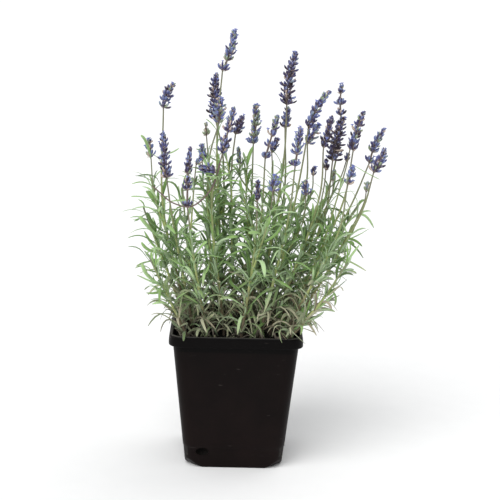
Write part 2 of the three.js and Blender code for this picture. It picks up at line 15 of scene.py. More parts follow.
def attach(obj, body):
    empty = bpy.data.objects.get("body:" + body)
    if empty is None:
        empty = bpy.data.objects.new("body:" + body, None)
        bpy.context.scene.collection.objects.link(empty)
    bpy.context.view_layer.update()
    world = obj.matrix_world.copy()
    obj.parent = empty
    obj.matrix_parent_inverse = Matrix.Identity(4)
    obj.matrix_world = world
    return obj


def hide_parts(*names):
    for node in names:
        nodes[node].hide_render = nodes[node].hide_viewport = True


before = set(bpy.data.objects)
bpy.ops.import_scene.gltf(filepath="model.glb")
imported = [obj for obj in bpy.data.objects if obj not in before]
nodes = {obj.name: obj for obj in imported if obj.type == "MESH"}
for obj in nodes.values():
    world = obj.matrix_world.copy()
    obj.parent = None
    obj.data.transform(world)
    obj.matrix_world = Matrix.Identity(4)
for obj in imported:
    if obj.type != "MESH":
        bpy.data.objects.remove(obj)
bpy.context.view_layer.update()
MM = 0.001
UP = np.array([0.0, 0.0, 1.0])

# %% [markdown]
# Colours are picked as sRGB hex values, as in any paint program, while Blender's shaders
# work in linear light. One function turns the first into the second.


# %% Colours
def linear(hex_colour):
    """Each sRGB channel c becomes c/12.92 near black, else ((c + 0.055) / 1.055) to 2.4."""
    raw = np.array([int(hex_colour[i : i + 2], 16) for i in (1, 3, 5)]) / 255.0
    low, high = raw / 12.92, ((raw + 0.055) / 1.055) ** 2.4
    return (*np.where(raw <= 0.04045, low, high).tolist(), 1.0)


print("leaf green, linear:", [round(c, 3) for c in linear("#7f926b")])

# %% [markdown]
# A finished piece is one mesh whose object stays at the origin. It is made from whole
# arrays: points, faces, a material number for each face, and values that a material reads
# at each point, such as how far along a leaf it is and which leaf it is.


# %% Pieces from arrays
def placed(name, data):
    """A new object at the origin that holds the data, linked into the scene."""
    obj = bpy.data.objects.new(name, data)
    bpy.context.scene.collection.objects.link(obj)
    return obj


def new_mesh(name, points, faces):
    """A mesh of these points and faces; a face of four that repeats a corner has three."""
    mesh = bpy.data.meshes.new(name)
    mesh.from_pydata(points.tolist(), [], [list(dict.fromkeys(face)) for face in faces.tolist()])
    return mesh


def piece(name, parts, materials, node_names):
    """Joins parts: each is a material number and a loft's points, faces and four values."""
    starts = np.cumsum([0] + [len(made[0]) for _, made in parts])
    points, values = (np.concatenate([made[k] for _, made in parts]) for k in (0, 2))
    faces = np.concatenate([made[1] + start for (_, made), start in zip(parts, starts)])
    numbers = np.concatenate([np.broadcast_to(kind, len(made[1])) for kind, made in parts])
    mesh = new_mesh(name, points, faces)
    mesh.polygons.foreach_set("material_index", numbers.astype(np.int32))
    mesh.shade_smooth()
    for key, kind, field, data in (
        ("growth", "FLOAT_VECTOR", "vector", values[:, :3]),
        ("age", "FLOAT", "value", values[:, 3]),
    ):
        attribute = mesh.attributes.new(key, kind, "POINT")
        attribute.data.foreach_set(field, data.astype(np.float32).ravel())
    for material in materials:
        mesh.materials.append(material)
    obj = placed(name, mesh)
    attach(obj, "root")
    if node_names:
        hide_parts(*node_names)
    return obj


def unit(vectors):
    """Each vector divided by its own length."""
    return vectors / np.maximum(np.linalg.norm(vectors, axis=-1, keepdims=True), 1e-12)


def around(count):
    """Angles that divide a full turn into this many."""
    return np.linspace(0, 2 * np.pi, count, endpoint=False)


def level(angle):
    """Unit vectors in the level plane at these angles."""
    return np.stack([np.cos(angle), np.sin(angle), 0 * angle], axis=-1)


def loft(rings, values=None):
    """Closes many lofts at once: rings is (lofts, rows, columns, 3), values is (..., 4).

    Each loft gets a pole in the middle of its first row and one at its last row's middle."""
    count, rows, columns, _ = rings.shape
    values = np.zeros((count, rows, columns, 4)) if values is None else values
    points, numbers = (
        np.concatenate([grid.reshape(count, rows * columns, -1), grid.mean(axis=2)[:, [0, -1]]], 1)
        for grid in (rings, values)
    )
    r = np.arange(rows - 1)[:, None] * columns
    c = np.arange(columns)[None, :]
    n = (c + 1) % columns
    sides = np.stack([r + c, r + n, r + columns + n, r + columns + c], -1).reshape(-1, 4)
    c, n = c.ravel(), n.ravel()
    first, last, end = rows * columns + 0 * c, rows * columns + 1 + 0 * c, (rows - 1) * columns
    caps = [np.stack([n, c, first, first], -1), np.stack([end + c, end + n, last, last], -1)]
    faces = np.concatenate([sides, *caps])
    step = (rows * columns + 2) * np.arange(count)[:, None, None]
    return points.reshape(-1, 3), (faces[None] + step).reshape(-1, 4), numbers.reshape(-1, 4)


print("a 3 x 4 loft has", len(loft(np.zeros((1, 3, 4, 3)))[1]), "faces")

# %% [markdown]
# The camera stands about 1.5 m from the plant, a little above it, and is turned by a degree
# and a half about its own axis, as a hand-held camera often is. A long lens from there shows
# the pot's sides almost parallel. The sharp view needs no depth of field.


# %% Camera
LOOK_AT = np.array([0.0119, 0.0, 0.2102])
DISTANCE, ELEVATION, YAW, ROLL = 1.5, math.radians(13.0), math.radians(-0.69), math.radians(1.44)
FOCAL_PIXELS, IMAGE_PIXELS, SENSOR, FAR = 1519.0, 500.0, 36.0, 400.0


def aim_camera():
    """The camera looks back along a line at the elevation and yaw, then rolls about it."""
    flat = math.cos(ELEVATION)
    back = np.array([math.sin(YAW) * flat, -math.cos(YAW) * flat, math.sin(ELEVATION)])
    right = unit(np.cross(-back, UP))
    up = np.cross(right, -back)
    data = bpy.data.cameras.new("camera")
    data.sensor_width, data.lens = SENSOR, SENSOR * FOCAL_PIXELS / IMAGE_PIXELS
    data.clip_end = FAR
    camera = placed("camera", data)
    turn = np.eye(4)
    turn[:3, 0] = math.cos(ROLL) * right + math.sin(ROLL) * up
    turn[:3, 1] = math.cos(ROLL) * up - math.sin(ROLL) * right
    turn[:3, 2], turn[:3, 3] = back, LOOK_AT + DISTANCE * back
    camera.matrix_world = Matrix(turn.tolist())
    bpy.context.scene.camera = camera
    return turn[:3, 3]


print("camera at", aim_camera().round(3))

# %% [markdown]
# Every finish is a small tree of shader nodes. One helper adds a node, sets its values and
# links its inputs, so that each material below reads as a short list. A pattern's scale is
# one over its size in metres: 650 gives a grain of about 1.5 mm. A map range's five inputs
# are its value, what it comes from, least and most, and what it goes to.


# %% Node helper
A, B = 6, 7  # the two colour inputs of a Mix node


def add_node(tree, kind, links=(), stops=(), **settings):
    """Adds a node: settings are its properties, stops a ramp's colours, and links its inputs,
    by name, by number or in order."""
    node = tree.nodes.new("ShaderNode" + kind)
    for key, value in settings.items():
        setattr(node, key, value)
    for key, value in links.items() if isinstance(links, dict) else enumerate(links):
        if isinstance(value, bpy.types.Node):
            value = next(socket for socket in value.outputs if socket.enabled)
        if isinstance(value, bpy.types.NodeSocket):
            tree.links.new(value, node.inputs[key])
        else:
            value = linear(value) if isinstance(value, str) else value
            node.inputs[key].default_value = value
    for number, (place, colour) in enumerate(stops):
        band = node.color_ramp.elements
        element = band[number] if number < 2 else band.new(place)
        element.position, element.color = place, linear(colour)
    return node


def new_material(name):
    """An empty material, the helper for its tree, and the coordinates of the piece it is on."""
    material = bpy.data.materials.new(name)
    material.use_nodes = True
    material.node_tree.nodes.clear()
    add = partial(add_node, material.node_tree)
    return material, add, add("TexCoord").outputs["Object"]


def point_values(add):
    """The three growth values and the age that a piece holds at each point."""
    growth, age = (add("Attribute", attribute_name=key).outputs for key in ("growth", "age"))
    return *add("SeparateXYZ", [growth["Vector"]]).outputs, age["Fac"]


print("helpers ready")

# %% [markdown]
# The leaf is grey-green because fine white down covers it. The down is too fine to see one
# hair at a time, so it shows as a pale, soft sheen and a slight mottling about 1.5 mm wide.
# The upper side is greener, the underside paler, and old leaves low down fade to straw.


# %% Leaf material: downy lavender leaf
def downy_leaf():
    """Green by the leaf's own random value, paler below, straw and brown with age."""
    material, add, place = new_material("downy_lavender_leaf")
    middle, own, under, age = point_values(add)
    mottle = add("TexNoise", {"Vector": place, "Scale": 650.0, "Detail": 3.0, "Roughness": 0.6})
    patches = add("TexNoise", {"Vector": place, "Scale": 90.0, "Detail": 2.0})
    tone = add("Math", [mottle, 0.34, own], operation="MULTIPLY_ADD")
    tone = add("Math", [tone, 0.17], operation="SUBTRACT")
    greens = [(0.0, "#3a5823"), (0.3, "#62863f"), (0.65, "#88ad62"), (1.0, "#b3cf9b")]
    fresh = add("ValToRGB", [tone], greens)
    pale = add("Mix", {"Factor": under, A: fresh, B: "#b6cca8"}, data_type="RGBA")
    rib = add("MapRange", [middle, 0.0, 0.12, 0.5, 0.0])
    base = add("Mix", {"Factor": rib, A: pale, B: "#a8b574"}, data_type="RGBA")
    worn = add("Math", [patches, 0.6, age], operation="MULTIPLY_ADD")
    faded = add("MapRange", [worn, 0.55, 1.15])
    straws = [(0.0, "#626d4b"), (0.35, "#929879"), (0.7, "#b6af95"), (1.0, "#62543f")]
    straw = add("ValToRGB", [own], straws)
    colour = add("Mix", {"Factor": faded, A: base, B: straw}, data_type="RGBA")
    bump = add("Bump", {"Height": mottle, "Strength": 0.35, "Distance": 0.0002})
    sheen = {"Sheen Weight": 0.12, "Sheen Roughness": 0.6, "Specular IOR Level": 0.3}
    surface = {"Base Color": colour, "Normal": bump, "Roughness": 0.72, **sheen}
    add("OutputMaterial", [add("BsdfPrincipled", surface)])
    return material


LEAF = downy_leaf()
print("made", LEAF.name)

# %% [markdown]
# The stalks are square in section with softened edges. They are brown and barky where they
# leave the soil, yellow-green where the leaves are, and grey-green to dull violet under the
# flowers. Fine lengthways streaks, under a millimetre apart, come from the ribs.


# %% Stalk material: ribbed green stalk
def ribbed_stalk():
    """Colour by the height along the stalk, streaked by noise stretched along Z."""
    material, add, place = new_material("ribbed_green_stalk")
    along, _, _, plum = point_values(add)
    stretched = add("Mapping", {"Vector": place, "Scale": (1.0, 1.0, 0.12)})
    streaks = add("TexNoise", {"Vector": stretched, "Scale": 1500.0, "Detail": 3.0})
    blotches = add("TexNoise", {"Vector": place, "Scale": 60.0, "Detail": 2.0})
    height = add("Math", [blotches, 0.24, along], operation="MULTIPLY_ADD")
    height = add("Math", [height, 0.12], operation="SUBTRACT")
    barks = [(0.0, "#63574a"), (0.2, "#7f7558"), (0.38, "#b6c27a"), (0.64, "#9cab6e")]
    colour = add("ValToRGB", [height], [*barks, (1.0, "#7f826c")])
    ripe = add("Mix", {"Factor": plum, A: colour, B: "#6e5d58"}, data_type="RGBA")
    shade = add("MapRange", [streaks, 0.3, 0.7, 0.72, 1.12])
    surface = add("BsdfPrincipled", {
        "Base Color": add("VectorMath", [ripe, shade], operation="MULTIPLY"),
        "Normal": add("Bump", {"Height": streaks, "Strength": 0.4, "Distance": 0.0002}),
        "Roughness": 0.6, "Specular IOR Level": 0.35,
    })
    add("OutputMaterial", [surface])
    return material


STALK = ribbed_stalk()
print("made", STALK.name)

# %% [markdown]
# Each floret is a ribbed tube, the calyx, dark violet above and grey-green at its base, with
# a woolly surface; the tips of some are painted pale as a highlight. A few still hold an open
# corolla, which is a lighter blue-violet and thin as paper. Small dry bracts, straw to brown,
# sit under the florets. The dead leaves on the soil are made the same way, darker and with
# broader blotches.


# %% Flower materials: woolly calyx, corolla and dry bract
def woolly_calyx():
    """Violet by the floret's own value, duller at its root, with a painted pale highlight at the
    tip of some.
    """
    material, add, place = new_material("woolly_calyx")
    along, own, _, age = point_values(add)
    wool = add("TexNoise", {"Vector": place, "Scale": 1400.0, "Detail": 3.0, "Roughness": 0.7})
    tone = add("Math", [wool, 0.22, age], operation="MULTIPLY_ADD")
    violets = [(0.05, "#2a1f2c"), (0.32, "#433750"), (0.56, "#4f5080"), (0.8, "#7683b0")]
    violet = add("ValToRGB", [tone], [*violets, (1.0, "#8d9b7c")])
    root = add("MapRange", [along, 0.05, 0.55, 0.85, 0.0])
    dull = add("Mix", {"Factor": root, A: violet, B: "#85767a"}, data_type="RGBA")
    # painted highlight: the tips of some florets are mixed towards pale blue, where light catches
    # them
    tip = add("MapRange", [along, 0.72, 1.0])
    tip_highlight = add("Math", [tip, own], operation="MULTIPLY")
    lit = add("Mix", {"Factor": tip_highlight, A: dull, B: "#a7afd2"}, data_type="RGBA")
    bump = add("Bump", {"Height": wool, "Strength": 0.5, "Distance": 0.0003})
    sheen = {"Sheen Weight": 0.15, "Sheen Roughness": 0.5, "Specular IOR Level": 0.25}
    surface = {"Base Color": lit, "Normal": bump, "Roughness": 0.8, **sheen}
    add("OutputMaterial", [add("BsdfPrincipled", surface)])
    return material


def thin_part(name, dark, light, scale, roughness):
    """A thin dry or soft part: two colours mixed by noise of the given scale per metre."""
    material, add, place = new_material(name)
    noise = add("TexNoise", {"Vector": place, "Scale": scale, "Detail": 4.0, "Roughness": 0.6})
    surface = add("BsdfPrincipled", {
        "Base Color": add("ValToRGB", [noise], [(0.3, dark), (0.72, light)]),
        "Normal": add("Bump", {"Height": noise, "Strength": 0.4, "Distance": 0.0003}),
        "Roughness": roughness, "Specular IOR Level": 0.3,
    })
    add("OutputMaterial", [surface])
    return material


CALYX = woolly_calyx()
COROLLA = thin_part("papery_corolla", "#5f6ab0", "#979ed4", 900.0, 0.6)
BRACT = thin_part("dry_bract", "#9a877b", "#d6c6ba", 500.0, 0.75)
LITTER = thin_part("dead_curled_leaf", "#302a24", "#8d8577", 180.0, 0.85)
print("made", CALYX.name, COROLLA.name, BRACT.name, LITTER.name)

# %% [markdown]
# The pot is injection-moulded polypropylene, black all through. It is thin, slightly glossy,
# with a fine moulded texture, a grey bloom of dust towards the foot, a few pale scuffs and a
# painted highlight: a thin pale line along its upper edge. The compost is damp peat, nearly
# black, with brown fibres in it.


# %% Pot and compost materials: black moulded polypropylene, damp peat
def moulded_plastic():
    """Near-black; dust by height and noise; scuffs at a noise's peaks; a painted highlight along
    the top edge.
    """
    material, add, place = new_material("black_polypropylene")
    height = add("SeparateXYZ", [place]).outputs["Z"]
    grain = add("TexNoise", {"Vector": place, "Scale": 2200.0, "Detail": 2.0})
    cloud = add("TexNoise", {"Vector": place, "Scale": 28.0, "Detail": 5.0, "Roughness": 0.62})
    slanted = {"Vector": place, "Scale": (1.0, 1.0, 5.0), "Rotation": (0.0, 0.35, 0.0)}
    scratches = {"Vector": add("Mapping", slanted), "Scale": 75.0, "Detail": 3.0}
    peaks = add("TexNoise", scratches)
    scuff = add("MapRange", [peaks, 0.7, 0.78])
    low = add("MapRange", [height, 0.03, 0.124, 1.5, 0.9])
    rim = add("MapRange", [height, 0.121, 0.1225, 1.0, 0.15])
    # painted highlight: a thin band at the rim's top edge, lighter where light glints on the lip
    edge = add("MapRange", [height, 0.1376, 0.138, 0.0, 0.7])
    settled = add("Math", [low, rim], operation="MULTIPLY")
    dust = add("Math", [cloud, settled], operation="MULTIPLY")
    edge_highlight = add("Math", [edge, cloud], operation="MULTIPLY")
    colour = "#030202"
    # the last mix paints the pale highlight onto the rim's top edge
    for factor, over in ((dust, "#150d0c"), (scuff, "#3a3533"), (edge_highlight, "#77736f")):
        colour = add("Mix", {"Factor": factor, A: colour, B: over}, data_type="RGBA")
    surface = add("BsdfPrincipled", {
        "Base Color": colour, "Roughness": add("MapRange", [cloud, 0.3, 0.7, 0.34, 0.48]),
        "Normal": add("Bump", {"Height": grain, "Strength": 0.12, "Distance": 0.0002}),
        "IOR": 1.49, "Specular IOR Level": 0.08,
    })
    add("OutputMaterial", [surface])
    return material


def damp_compost():
    """Near-black peat with brown fibres: two patterns, about 3 mm and 1.1 mm across."""
    material, add, place = new_material("damp_peat_compost")
    clods = add("TexNoise", {"Vector": place, "Scale": 330.0, "Detail": 6.0, "Roughness": 0.7})
    fibres = add("TexVoronoi", {"Vector": place, "Scale": 900.0})
    both = add("Math", [clods, fibres], operation="MULTIPLY")
    browns = [(0.05, "#070605"), (0.3, "#15110d"), (0.55, "#2e261e")]
    surface = add("BsdfPrincipled", {
        "Base Color": add("ValToRGB", [both], browns),
        "Normal": add("Bump", {"Height": clods, "Strength": 0.8, "Distance": 0.001}),
        "Roughness": 0.9,
    })
    add("OutputMaterial", [surface])
    return material


PLASTIC, COMPOST = moulded_plastic(), damp_compost()
print("made", PLASTIC.name, COMPOST.name)

# %% [markdown]
# Where the stems stand and how they bend is set by three points each, in millimetres: a
# foot in the soil, a middle, and the base of the flower head, which ends at its tip. The
# solids were drawn along the same points, so the finer stems lie inside them.

# %% Places of stems and heads
# name: foot, middle, base and tip of the head, its reach, its bare stretches, its tone;
# every foot is 133 mm up
STALKS = {
    "a": ((-46, -3), (-74, -4, 250), (-75, -5, 350), (-65, -5, 374), 5.6, (), 0.5),
    "b": ((-12, 10), (-23, 12, 320), (-19, 15, 385), (-8, 15, 424), 5.4, ((4, 10),), 0.62),
    "c": ((-16, 23), (-17, 24, 300), (-25, 28, 335), (-25, 28, 381), 7.2, (), 0.3),
    "d": ((-22, -9), (-30, -13, 300), (-21, -15, 338), (-20, -15, 363), 5.6, (), 0.74),
    "e": ((-12, -26), (-26, -31, 268), (-17, -38, 312), (-7, -38, 357), 5.0, ((15, 17),), 0.42),
    "f": ((-2, -2), (-8, 3, 290), (-5, 4, 325), (2, 4, 343), 4.6, (), 0.24),
    "g": ((6, 26), (12, 29, 240), (13, 35, 311), (14, 35, 350), 5.6, (), 0.86),
    "h": ((11, -14), (22, -19, 250), (24, -22, 306), (35, -22, 348), 5.2, ((5, 8), (15, 22)), 0.5),
    "i": ((21, 2), (43, 2, 305), (44, 2, 355), (52, 2, 406), 7.6, (), 0.32),
    "j": ((24, 24), (45, 26, 265), (44, 32, 328), (46, 32, 349), 4.6, (), 0.5),
    "k": ((31, -11), (59, -12, 290), (65, -14, 335), (85, -14, 371), 4.9, (), 0.48),
    "l": ((33, 12), (66, 15, 275), (66, 18, 315), (76, 18, 334), 5.4, (), 0.72),
    "m": ((42, 27), (93, 28, 285), (99, 34, 341), (99, 34, 372), 5.0, ((5, 7), (15, 17)), 0.5),
    "n": ((42, 3), (85, 9, 245), (91, 12, 299), (100, 12, 343), 8.0, (), 0.16),
    "o": ((33, -25), (77, -27, 270), (79, -32, 319), (86, -32, 350), 4.6, (), 0.3),
    "p": ((45, -9), (101, -11, 262), (109, -12, 314), (118, -12, 352), 5.6, (), 0.42),
    "q": ((53, 15), (112, 19, 255), (128, 22, 296), (142, 22, 331), 5.2, ((5, 7), (15, 17)), 0.55),
    "r": ((53, -21), (118, -25, 255), (128, -30, 296), (137, -30, 320), 5.8, (), 0.42),
    "s": ((46, -37), (96, -40, 240), (102, -48, 287), (107, -48, 304), 5.4, (), 0.7),
    "t": ((-42, -20), (-64, -25, 245), (-70, -30, 286), (-74, -30, 330), 5.4, ((19, 22),), 0.36),
    "u": (
        (-29, -38), (-43, -42, 215), (-49, -50, 262), (-47, -50, 320), 4.4,
        ((5, 13), (24, 31)), 0.26,
    ),
    "v": ((23, -37), (48, -39, 255), (52, -46, 303), (56, -46, 340), 5.2, ((5, 7), (12, 15)), 0.6),
    "w": ((5, -43), (16, -50, 225), (17, -62, 272), (17, -62, 292), 2.6, (), 0.2),
}
# name: the stalk it leaves, how far along that one, then as above
SIDE_STALKS = {
    "a2": ("a", 0.42, (-84, 14, 262), (-88, 22, 297), (-90, 22, 315), 4.4, 0.62),
    "c2": ("c", 0.5, (-30, 38, 285), (-34, 42, 317), (-35, 42, 330), 2.8, 1.1),
    "b2": ("b", 0.36, (-35, 9, 268), (-37, 12, 297), (-38, 13, 313), 3.8, 0.5),
    "j2": ("j", 0.42, (33, 15, 280), (31, 12, 306), (36, 12, 321), 3.2, 0.2),
    "k2": ("k", 0.34, (62, -25, 245), (64, -28, 272), (63, -29, 287), 3.8, 0.4),
    "w2": ("w", 0.45, (29, -60, 258), (31, -66, 282), (32, -67, 297), 4.6, 0.8),
}
# late buds on thin twigs: the stalk it leaves, how far along, middle, base, tip, reach, tone
LATE_BUDS = {
    "nodding": ("d", 0.66, (-20, -40, 284), (-23, -48, 297), (-39, -50, 301), 5.0, 0.34),
    "n3": ("n", 0.4, (83, 3, 275), (84, 0, 292), (84, 0, 303), 2.9, 0.2),
    "l3": ("l", 0.42, (72, 10, 272), (72, 8, 285), (73, 8, 294), 2.2, 0.32),
    "m3": ("m", 0.36, (92, 16, 266), (92, 10, 280), (93, 8, 291), 2.5, 1.05),
    "r3": ("r", 0.42, (121, -18, 264), (123, -14, 274), (124, -12, 284), 2.6, 1.15),
    "p3": ("p", 0.44, (103, -11, 298), (106, -10, 315), (107, -10, 323), 2.0, 0.25),
    "m4": ("m", 0.4, (101, 22, 283), (105, 20, 298), (106, 20, 306), 2.1, 0.2),
    "g3": ("g", 0.72, (0, 21, 281), (0, 18, 293), (-2, 16, 310), 2.3, 1.0),
    "u3": ("u", 0.8, (-43, -30, 287), (-42, -26, 299), (-36, -24, 310), 2.4, 0.9),
}
# leafy twigs with no flowers: the stalk each leaves, how far along, middle, tip
LEAFY_TWIGS = {
    "f5": ("f", 0.46, (-8, -8, 275), (-13, -12, 303)),
    "g5": ("g", 0.44, (7, 16, 262), (7, 12, 294)),
    "d5": ("d", 0.45, (-27, -20, 268), (-31, -24, 300)),
    "c5": ("c", 0.46, (-20, 14, 262), (-18, 9, 286)),
    "h5": ("h", 0.44, (11, -26, 249), (4, -30, 268)),
}
# a leafy shoot with no flowers: foot, middle, tip
SHOOTS = {
    "shoot_1": ((-51, 16), (-72, 10, 190), (-94, 4, 250)),
    "shoot_2": ((-48, -41), (-66, -46, 172), (-84, -52, 212)),
    "shoot_3": ((50, -50), (80, -54, 172), (104, -60, 214)),
    "shoot_4": ((50, 40), (88, 46, 190), (122, 50, 250)),
    "shoot_5": ((-38, 38), (-50, 52, 190), (-58, 62, 262)),
    "shoot_6": ((14, 45), (24, 56, 190), (34, 66, 262)),
}
# long leaves that stand clear: stalk, how far along, middle, tip, width in mm, how dry
LONG_LEAVES = [
    ("a2", 0.97, (-92, 17, 313), (-97, 15, 321), 3.6, 0),
    ("a", 0.81, (-67, -11, 307), (-60, -15, 314), 3.4, 0),
    ("a", 0.385, (-84, -14, 230), (-96, -18, 248), 4.4, 0),
    ("a", 0.44, (-84, -6, 236), (-91, -2, 248), 3.8, 0),
    ("a", 0.35, (-84, -16, 211), (-94, -20, 222), 3.4, 0.1),
    ("shoot_2", 0.68, (-85, -52, 194), (-92, -54, 209), 4.4, 0.1),
    ("shoot_2", 0.6, (-79, -55, 179), (-87, -59, 181), 4.0, 0.2),
    ("a", 0.6, (-88, -14, 277), (-104, -20, 279), 2.2, 0),
    ("shoot_4", 0.78, (123, 44, 240), (137, 40, 228), 2.6, 0),
    ("shoot_4", 0.68, (114, 38, 215), (125, 32, 209), 2.6, 0),
    ("r", 0.49, (112, -31, 207), (125, -37, 202), 1.8, 0.5),
    ("r", 0.37, (102, -32, 198), (115, -40, 199), 2.2, 0.4),
    ("shoot_3", 0.68, (94, -62, 181), (94, -64, 173), 2.6, 0.3),
    ("shoot_3", 0.51, (86, -60, 174), (90, -62, 168), 2.4, 1.2),
    ("p", 0.93, (122, -8, 293), (138, -6, 287), 1.6, 0),
    ("e", 0.43, (-8, -42, 214), (2, -48, 206), 4.2, 0),
    ("f", 0.31, (-7, -30, 186), (2, -38, 179), 3.4, 0),
    ("f", 0.49, (-2, -21, 235), (4, -33, 235), 3.0, 0),
    ("f", 0.46, (-2, -19, 214), (-4, -25, 208), 3.4, 0),
    ("g", 0.25, (20, -3, 186), (30, -17, 186), 3.2, 0),
    ("m", 0.355, (74, 1, 217), (86, -11, 217), 3.8, 0),
    ("o", 0.27, (68, -37, 187), (79, -45, 195), 3.0, 0),
    ("m", 0.28, (65, -3, 204), (77, -13, 206), 3.2, 0),
    ("k", 0.37, (49, -25, 210), (54, -33, 217), 3.4, 0),
    ("w", 0.49, (21, -55, 199), (32, -61, 197), 3.4, 0),
    ("i", 0.28, (39, -26, 195), (46, -38, 191), 3.6, 0),
    ("g", 0.37, (12, 3, 207), (19, -9, 218), 3.4, 0),
    ("h", 0.3, (26, -27, 196), (37, -35, 192), 3.6, 0),
    ("d", 0.3, (-13, -19, 202), (-3, -27, 196), 3.8, 0),
    ("v", 0.34, (42, -47, 190), (53, -52, 184), 3.4, 0.1),
    ("b", 0.2, (-31, -2, 188), (-42, -14, 184), 3.6, 0),
    ("d", 0.36, (-34, -20, 221), (-41, -26, 223), 3.2, 0),
    ("u", 0.61, (-36, -50, 223), (-29, -54, 231), 3.2, 0),
    ("d", 0.48, (-35, -18, 242), (-41, -23, 250), 3.0, 0),
    ("f", 0.44, (-1, -7, 238), (7, -13, 244), 3.2, 0),
    ("f", 0.38, (-1, -8, 222), (-11, -15, 229), 3.2, 0),
]
# a dry twig that sags from stalk e, through these points
SAGGING_TWIG = (
    (-21, -42, 295), (-24, -46, 285), (-32, -50, 273), (-46, -52, 263),
    (-64, -48, 266), (-75, -44, 274), (-83, -40, 280),
)
print(len(STALKS), "stalks,", len(SIDE_STALKS), "side stalks,", len(SHOOTS), "shoots")

# %% [markdown]
# A stem is a smooth curve through its points. A centripetal Catmull-Rom curve passes through
# every point without looping, and its points are then spread at equal lengths along it. The
# stem itself is a square tube with soft edges, thicker at the foot and at each pair of leaves.


# %% Stems
def stem_line(points, count):
    """Points at equal lengths on the centripetal Catmull-Rom curve through the given ones.

    Each span is a cubic whose end slopes come from its neighbours, with spans timed by the
    square root of their length; the end points are mirrored to give the first and last slope."""
    p = np.array(points, dtype=float)
    p = np.vstack([2 * p[0] - p[1], p, 2 * p[-1] - p[-2]])
    time = np.sqrt(np.linalg.norm(np.diff(p, axis=0), axis=1))[:, None]
    step = np.diff(p, axis=0) / time
    slope = step[:-1] - (p[2:] - p[:-2]) / (time[1:] + time[:-1]) + step[1:]
    start, end = (slope[:-1] * time[1:-1])[:, None], (slope[1:] * time[1:-1])[:, None]
    t = np.linspace(0, 1, 300)[None, :, None]
    cubic = (2 * t**3 - 3 * t**2 + 1) * p[1:-2, None] + (t**3 - 2 * t**2 + t) * start
    cubic = cubic + (3 * t**2 - 2 * t**3) * p[2:-1, None] + (t**3 - t**2) * end
    dense = cubic.reshape(-1, 3)
    length = np.r_[0, np.cumsum(np.linalg.norm(np.diff(dense, axis=0), axis=1))]
    at = np.linspace(0, length[-1], count)
    return np.stack([np.interp(at, length, dense[:, k]) for k in range(3)], axis=1)


def tube(line, half_width, columns, values):
    """A closed tube of rounded-square section: radius = half / (|cos|^3 + |sin|^3)^(1/3)."""
    along = unit(np.gradient(line, axis=0))
    side = unit(np.cross([0.0, 1.0, 0.0], along))
    angle = around(columns)
    cos, sin = np.cos(angle)[None, :, None], np.sin(angle)[None, :, None]
    radius = half_width[:, None, None] / (np.abs(cos) ** 3 + np.abs(sin) ** 3) ** (1 / 3)
    rings = line[:, None] + radius * (cos * side[:, None] + sin * np.cross(along, side)[:, None])
    return loft(rings[None], np.repeat(values[:, None], columns, axis=1)[None])


def spot(name, at):
    """The point on a stalk's line at a share of its length, in metres."""
    return LINES[name][round((len(LINES[name]) - 1) * at)]


def rooted(foot, *bends):
    """The points of a stalk whose foot is 133 mm up, in the soil."""
    return (*foot, 133), *bends


LINES = {name: stem_line(rooted(*row[:3]), 90) * MM for name, row in STALKS.items()}
LINES |= {name: stem_line(rooted(*points), 60) * MM for name, points in SHOOTS.items()}
for name, (parent, at, *ends) in SIDE_STALKS.items():
    foot = stem_line(rooted(*STALKS[parent][:3]), 1001)[round(1000 * at)]
    LINES[name] = stem_line((foot, *ends[:2]), 40) * MM
for table, rows in ((LATE_BUDS, 24), (LEAFY_TWIGS, 30)):
    for name, (parent, at, *ends) in table.items():
        LINES[name] = stem_line((spot(parent, at) * 1000, *ends[:2]), rows) * MM
LINES["sagging"] = stem_line((LINES["e"][84] * 1000, *SAGGING_TWIG), 40) * MM
lengths = [np.linalg.norm(np.diff(line, axis=0), axis=1).sum() for line in LINES.values()]
print("longest stem:", round(1000 * max(lengths)), "mm")

# %% [markdown]
# The solids already have a leaf at every place, as a long keeled wedge. Each finer leaf is
# grown on the line of its own wedge, so the bush keeps its form. The wedge is found in the
# node's mesh: its loose triangles are joined, and a leaf's tip is a point where only three
# long edges meet. The three points next to the tip are its keel and its two edges.


# %% Reading the leaves of a node
def joined(node_name):
    """The node's points with doubles within a micrometre made one, and its triangles."""
    mesh = nodes[node_name].data
    points = np.empty(len(mesh.vertices) * 3, dtype=np.float32)
    mesh.vertices.foreach_get("co", points)
    corners = np.empty(len(mesh.loops), dtype=np.int32)
    mesh.loops.foreach_get("vertex_index", corners)
    places = points.reshape(-1, 3)[corners].astype(float)
    whole = np.round(places * 1e6).astype(np.int64)
    _, first, number = np.unique(whole, axis=0, return_index=True, return_inverse=True)
    return places[first], number.reshape(-1, 3)


def solid_leaves(node_name):
    """Root, middle, tip and upper side of every leaf of the node, each as an array."""
    places, triangles = joined(node_name)
    sides = triangles[:, [[0, 1], [1, 2], [2, 0]]].reshape(-1, 2)
    sides = sides[np.argsort(sides[:, 0], kind="stable")]
    valence = np.bincount(sides[:, 0], minlength=len(places))
    first = np.cumsum(valence) - valence
    beside = np.full((len(places), valence.max()), -1)
    beside[sides[:, 0], np.arange(len(sides)) - first[sides[:, 0]]] = sides[:, 1]
    tips = np.flatnonzero(valence == 3)
    spans = np.linalg.norm(places[beside[tips, :3]] - places[tips][:, None], axis=2)
    tips = tips[spans.min(axis=1) > 0.004]
    ring = beside[tips, :3]
    corners = places[ring]
    facing = np.linalg.norm(np.roll(corners, -1, axis=1) - np.roll(corners, 1, axis=1), axis=2)
    keel = corners[np.arange(len(tips)), facing.argmax(axis=1)]
    middle = (corners.sum(axis=1) - keel) / 2
    near = beside[ring].reshape(len(tips), -1)
    own = (near < 0) | (near == tips[:, None]) | (near[:, :, None] == ring[:, None]).any(axis=2)
    root = (places[near] * ~own[:, :, None]).sum(axis=1) / (~own).sum(axis=1)[:, None]
    return root, middle, places[tips], unit(middle - keel)


LEAVES = {name: solid_leaves(name) for name in [*(f"stem_{key}" for key in STALKS), *SHOOTS]}
print("leaves read:", sum(len(leaf[0]) for leaf in LEAVES.values()))

